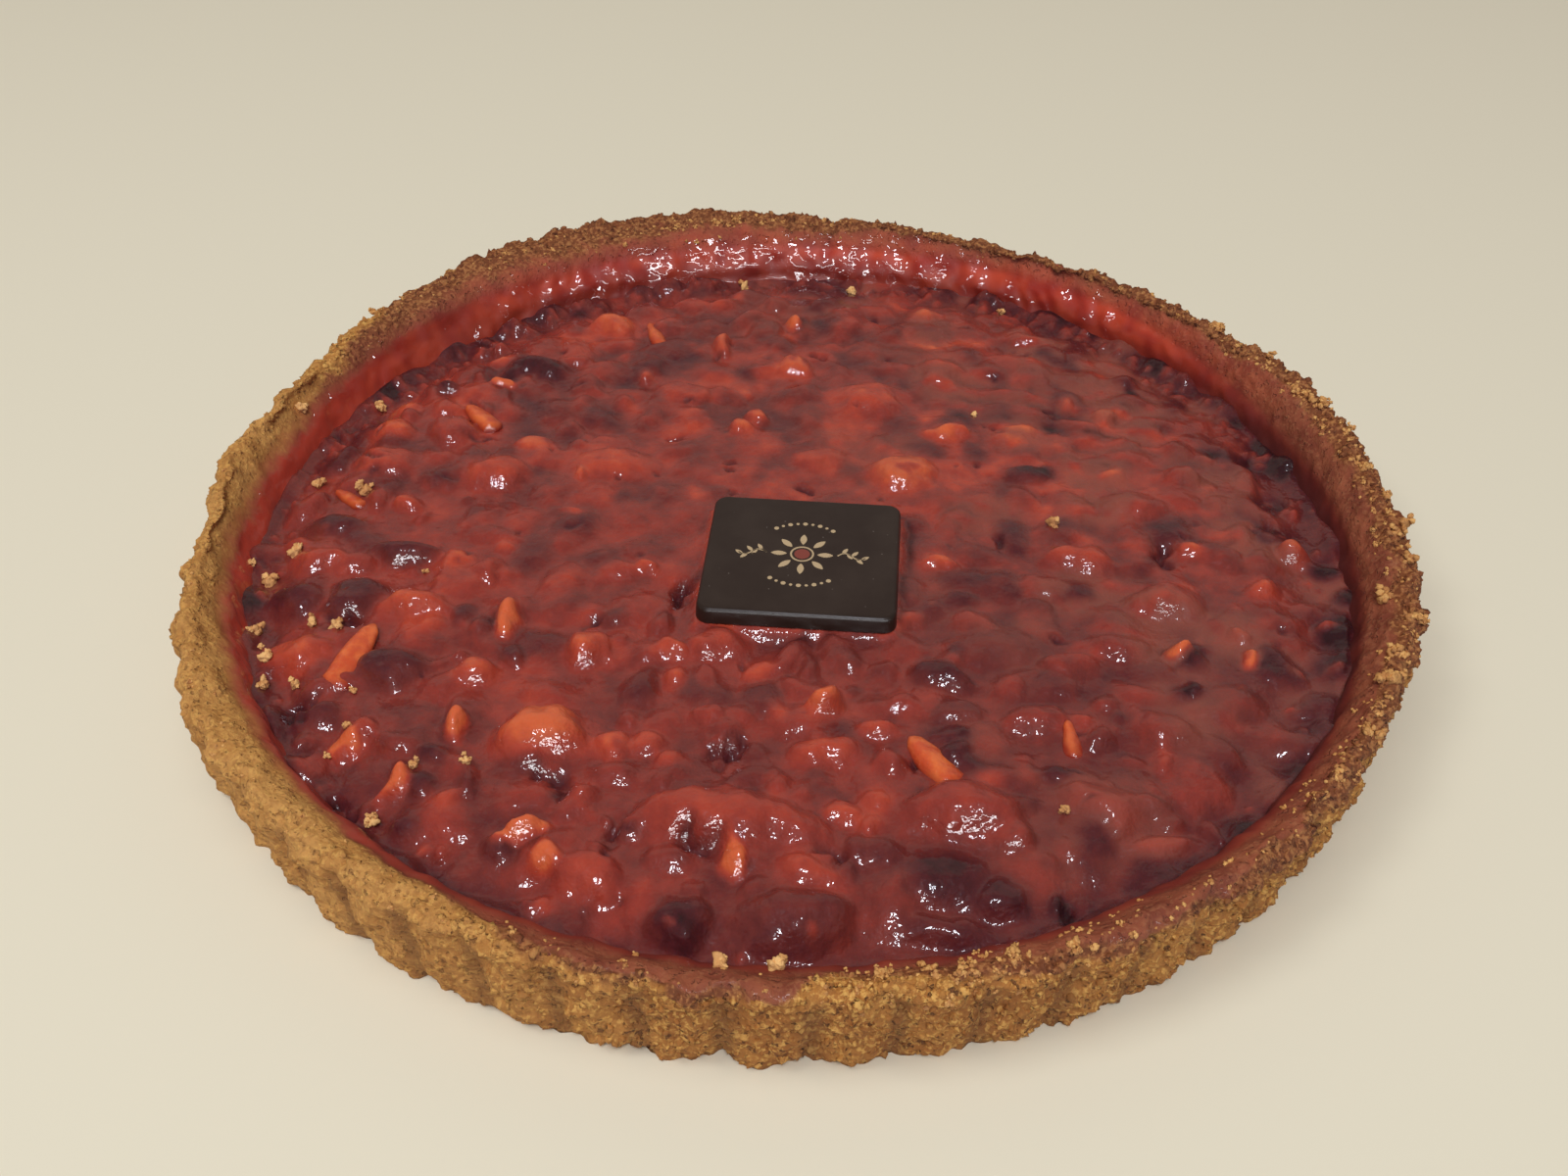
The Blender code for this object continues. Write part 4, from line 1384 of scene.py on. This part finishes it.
def filling_material():
    """A clear red gel over praline, orange where a nut comes close, painted near black as shade in
    the crevices.
    """
    shader = Shader("praline_filling")
    crevice = shader.attribute("crevice")
    mottle = shader.minus(shader.noise(3.5, 4, 0.6), 0.5)
    tone = shader.plus(shader.attribute("tone"), shader.times(mottle, 0.4))
    # Painted shade and light: darker in the crevices, lighter on the tops of the lumps
    tone = shader.minus(tone, shader.times(crevice, 0.28))
    colour = shader.ramp(tone, (
        (0.0, (0.030, 0.006, 0.008)), (0.18, (0.086, 0.014, 0.016)), (0.4, (0.172, 0.027, 0.021)),
        (0.6, (0.300, 0.039, 0.025)), (0.8, (0.455, 0.060, 0.029)), (1.0, (0.650, 0.122, 0.040)),
    ))
    # Painted sheen: the dull skin is lifted towards pale brown, standing for reflected light
    skin = shader.times(shader.attribute("skin"), 0.65)
    colour = shader.mix(skin, colour, (0.270, 0.084, 0.058))
    # Painted shade: the deepest crevices go near black
    pit = shader.span(crevice, 0.3, 1.0, 0, 0.8)
    colour = shader.mix(pit, colour, (0.018, 0.004, 0.004))
    bump = shader.bump(shader.noise(1.9, 2, 0.5), 0.36)
    bump = shader.bump(shader.noise(0.8, 1), 0.07, under=bump)
    shader.set(
        Base_Color=colour, Normal=bump, Coat_Normal=bump, Roughness=0.4, Specular_IOR_Level=0.1,
        Coat_Weight=shader.minus(1.0, shader.math("MAXIMUM", pit, skin)),
        Coat_Roughness=0.07, Coat_IOR=1.45,
        Subsurface_Weight=0.15, Subsurface_Radius=(1.0, 0.15, 0.06), Subsurface_Scale=0.002,
    )
    return shader.material


def nut_material():
    """Roast nut under a thin red film: orange above, red towards the glaze."""
    shader = Shader("roast_nut")
    bare = shader.attribute("bare")
    patch = shader.patches(3, 3, 0.35, 0.65)
    nut = shader.mix(patch, (0.60, 0.080, 0.022), (0.74, 0.155, 0.038))
    colour = shader.mix(bare, (0.30, 0.022, 0.010), nut)
    bump = shader.bump(shader.noise(1.6, 3), 0.3)
    shader.set(
        Base_Color=colour, Normal=bump, Coat_Normal=bump, Roughness=0.4, Specular_IOR_Level=0.2,
        Coat_Weight=0.9, Coat_Roughness=0.08, Subsurface_Weight=0.12,
        Subsurface_Radius=(1.0, 0.3, 0.1), Subsurface_Scale=0.0015,
    )
    return shader.material


def crumb_material(name, dark, light):
    """Loose crumb, each one with a shade of its own between dark and light, and with dark pores."""
    shader = Shader(name)
    colour = shader.mix(shader.attribute("shade"), dark, light)
    colour = shader.mix(shader.patches(0.8, 3, 0.42, 0.28), colour, (0.40, 0.15, 0.045))
    shader.set(Base_Color=colour, Normal=shader.bump(shader.noise(0.5, 3), 0.2), Roughness=0.85)
    return shader.material


def chocolate_material():
    """Dark chocolate with a dull bloom, faint dust and a sheen that isn't quite even."""
    shader = Shader("dark_chocolate")
    bloom = shader.patches(11, 4, 0.35, 0.75)
    colour = shader.mix(bloom, (0.023, 0.0125, 0.0085), (0.033, 0.020, 0.014))
    dust = shader.span(shader.cells(2.6, "Distance", shader.place()), 0.06, 0.03)
    colour = shader.mix(shader.times(dust, 0.5), colour, (0.30, 0.25, 0.21))
    shader.set(
        Base_Color=colour, Normal=shader.bump(shader.noise(2.5, 3), 0.02),
        Roughness=shader.patches(4, 3, 0.3, 0.7, 0.3, 0.42), Specular_IOR_Level=0.38,
    )
    return shader.material


def print_material(name, colour):
    """A printed colour, worn in small spots."""
    shader = Shader(name)
    worn = shader.patches(0.9, 3, 0.36, 0.28, 0, 0.6)
    tint = shader.mix(worn, colour, (0.06, 0.04, 0.03))
    shader.set(Base_Color=tint, Roughness=0.5)
    return shader.material


# Stage


def make_camera():
    right, up = Vector(CAMERA_RIGHT), Vector(CAMERA_UP)
    back = right.cross(up)
    turn = Matrix((right, up, back)).transposed().to_4x4()
    data = bpy.data.cameras.new("photo_camera")
    data.lens = LENS
    data.sensor_width = SENSOR
    data.clip_start = 0.01
    camera = placed("photo_camera", data)
    camera.matrix_world = Matrix.Translation(Vector(CAMERA_PLACE) * METRES) @ turn
    bpy.context.scene.camera = camera


def make_floor():
    reach = FLOOR_REACH / METRES
    corners = ((-reach, -reach, 0), (reach, -reach, 0), (reach, reach, 0), (-reach, reach, 0))
    floor = mesh_object("floor", corners, ((0, 1, 2, 3),), smooth=False)
    shader = Shader("pale_floor")
    shader.set(Base_Color=(0.80, 0.735, 0.565), Roughness=1.0, Specular_IOR_Level=0.0)
    floor.data.materials.append(shader.material)


def area_light(name, place, target, size, power, colour, lights="all"):
    """A rectangular light, in metres and watts, seen by all or only the diffuse or glossy look."""
    data = bpy.data.lights.new(name, "AREA")
    data.shape = "RECTANGLE"
    data.size, data.size_y = size
    data.energy = power
    data.color = colour
    light = placed(name, data)
    aim = (Vector(target) - Vector(place)).to_track_quat("-Z", "Y")
    light.matrix_world = Matrix.Translation(place) @ aim.to_matrix().to_4x4()
    light.visible_camera = False
    light.visible_glossy = lights != "diffuse"
    light.visible_diffuse = lights != "gloss"


def make_lights():
    """Soft light from above and the left, two lights in front for the gloss, pale panels behind."""
    cool, blue, warm = (0.95, 0.97, 1.0), (0.88, 0.91, 1.0), (1.0, 0.77, 0.64)
    area_light("above", (-0.1, -0.5, 1.8), MIDDLE, (1.4, 1.0), 9.4, cool, "diffuse")
    area_light("left", (-0.85, -0.4, 1.4), MIDDLE, (0.5, 0.5), 5.4, cool, "diffuse")
    area_light("key", (0.05, -0.95, 1.35), MIDDLE, (0.34, 0.24), 12, blue)
    area_light("front_low", (0.2, -1.3, 0.42), (0, 0.1, 0.02), (1.6, 0.14), 18, cool, "gloss")
    area_light("back_low", (0, 0.95, 0.45), (0, 0, 0.3), (2.4, 0.6), 0.6, warm)
    area_light("back_high", (0, 0.95, 1.2), (0, 0, 0.3), (2.4, 0.9), 1.6, warm)


def make_surroundings():
    """An even, weak light all round, and colours shown as they are."""
    world = bpy.data.worlds.new("studio")
    world.use_nodes = True
    inputs = world.node_tree.nodes["Background"].inputs
    inputs["Color"].default_value = (0.95, 0.92, 0.88, 1)
    inputs["Strength"].default_value = 0.17
    bpy.context.scene.world = world
    bpy.context.scene.view_settings.view_transform = "Standard"


def main():
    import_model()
    solid_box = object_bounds()
    room = np.array(solid_box) / METRES + ((BOX_MARGIN,) * 3, (-BOX_MARGIN,) * 3)
    make_camera()
    crust = make_crust(room)
    baked = crust_material()
    add_piece(crust, baked, "crust")
    land = fill_land()
    filling = make_filling(land)
    add_piece(filling, filling_material(), "filling")
    add_piece(make_slivers(land, room), nut_material())
    add_piece(make_plaque(), chocolate_material(), "plaque")
    gold = print_material("gold_print", (0.50, 0.36, 0.20))
    add_piece(flat_print("ornament_gold", ornament_outlines()), gold)
    red = print_material("red_print", (0.22, 0.045, 0.03))
    add_piece(flat_print("ornament_red", [circle(1.5)]), red)
    tree = surface_tree((crust, filling))
    loose = crumb_material("loose_crumb", (0.58, 0.250, 0.078), (0.86, 0.50, 0.185))
    add_piece(make_loose_crumbs(tree, room), loose)
    stuck = crumb_material("rim_crumb", (0.47, 0.190, 0.050), (0.76, 0.41, 0.125))
    add_piece(make_rim_crumbs(tree, room), stuck)
    add_piece(make_grains(crust, room), baked)
    make_floor()
    make_lights()
    make_surroundings()


main()
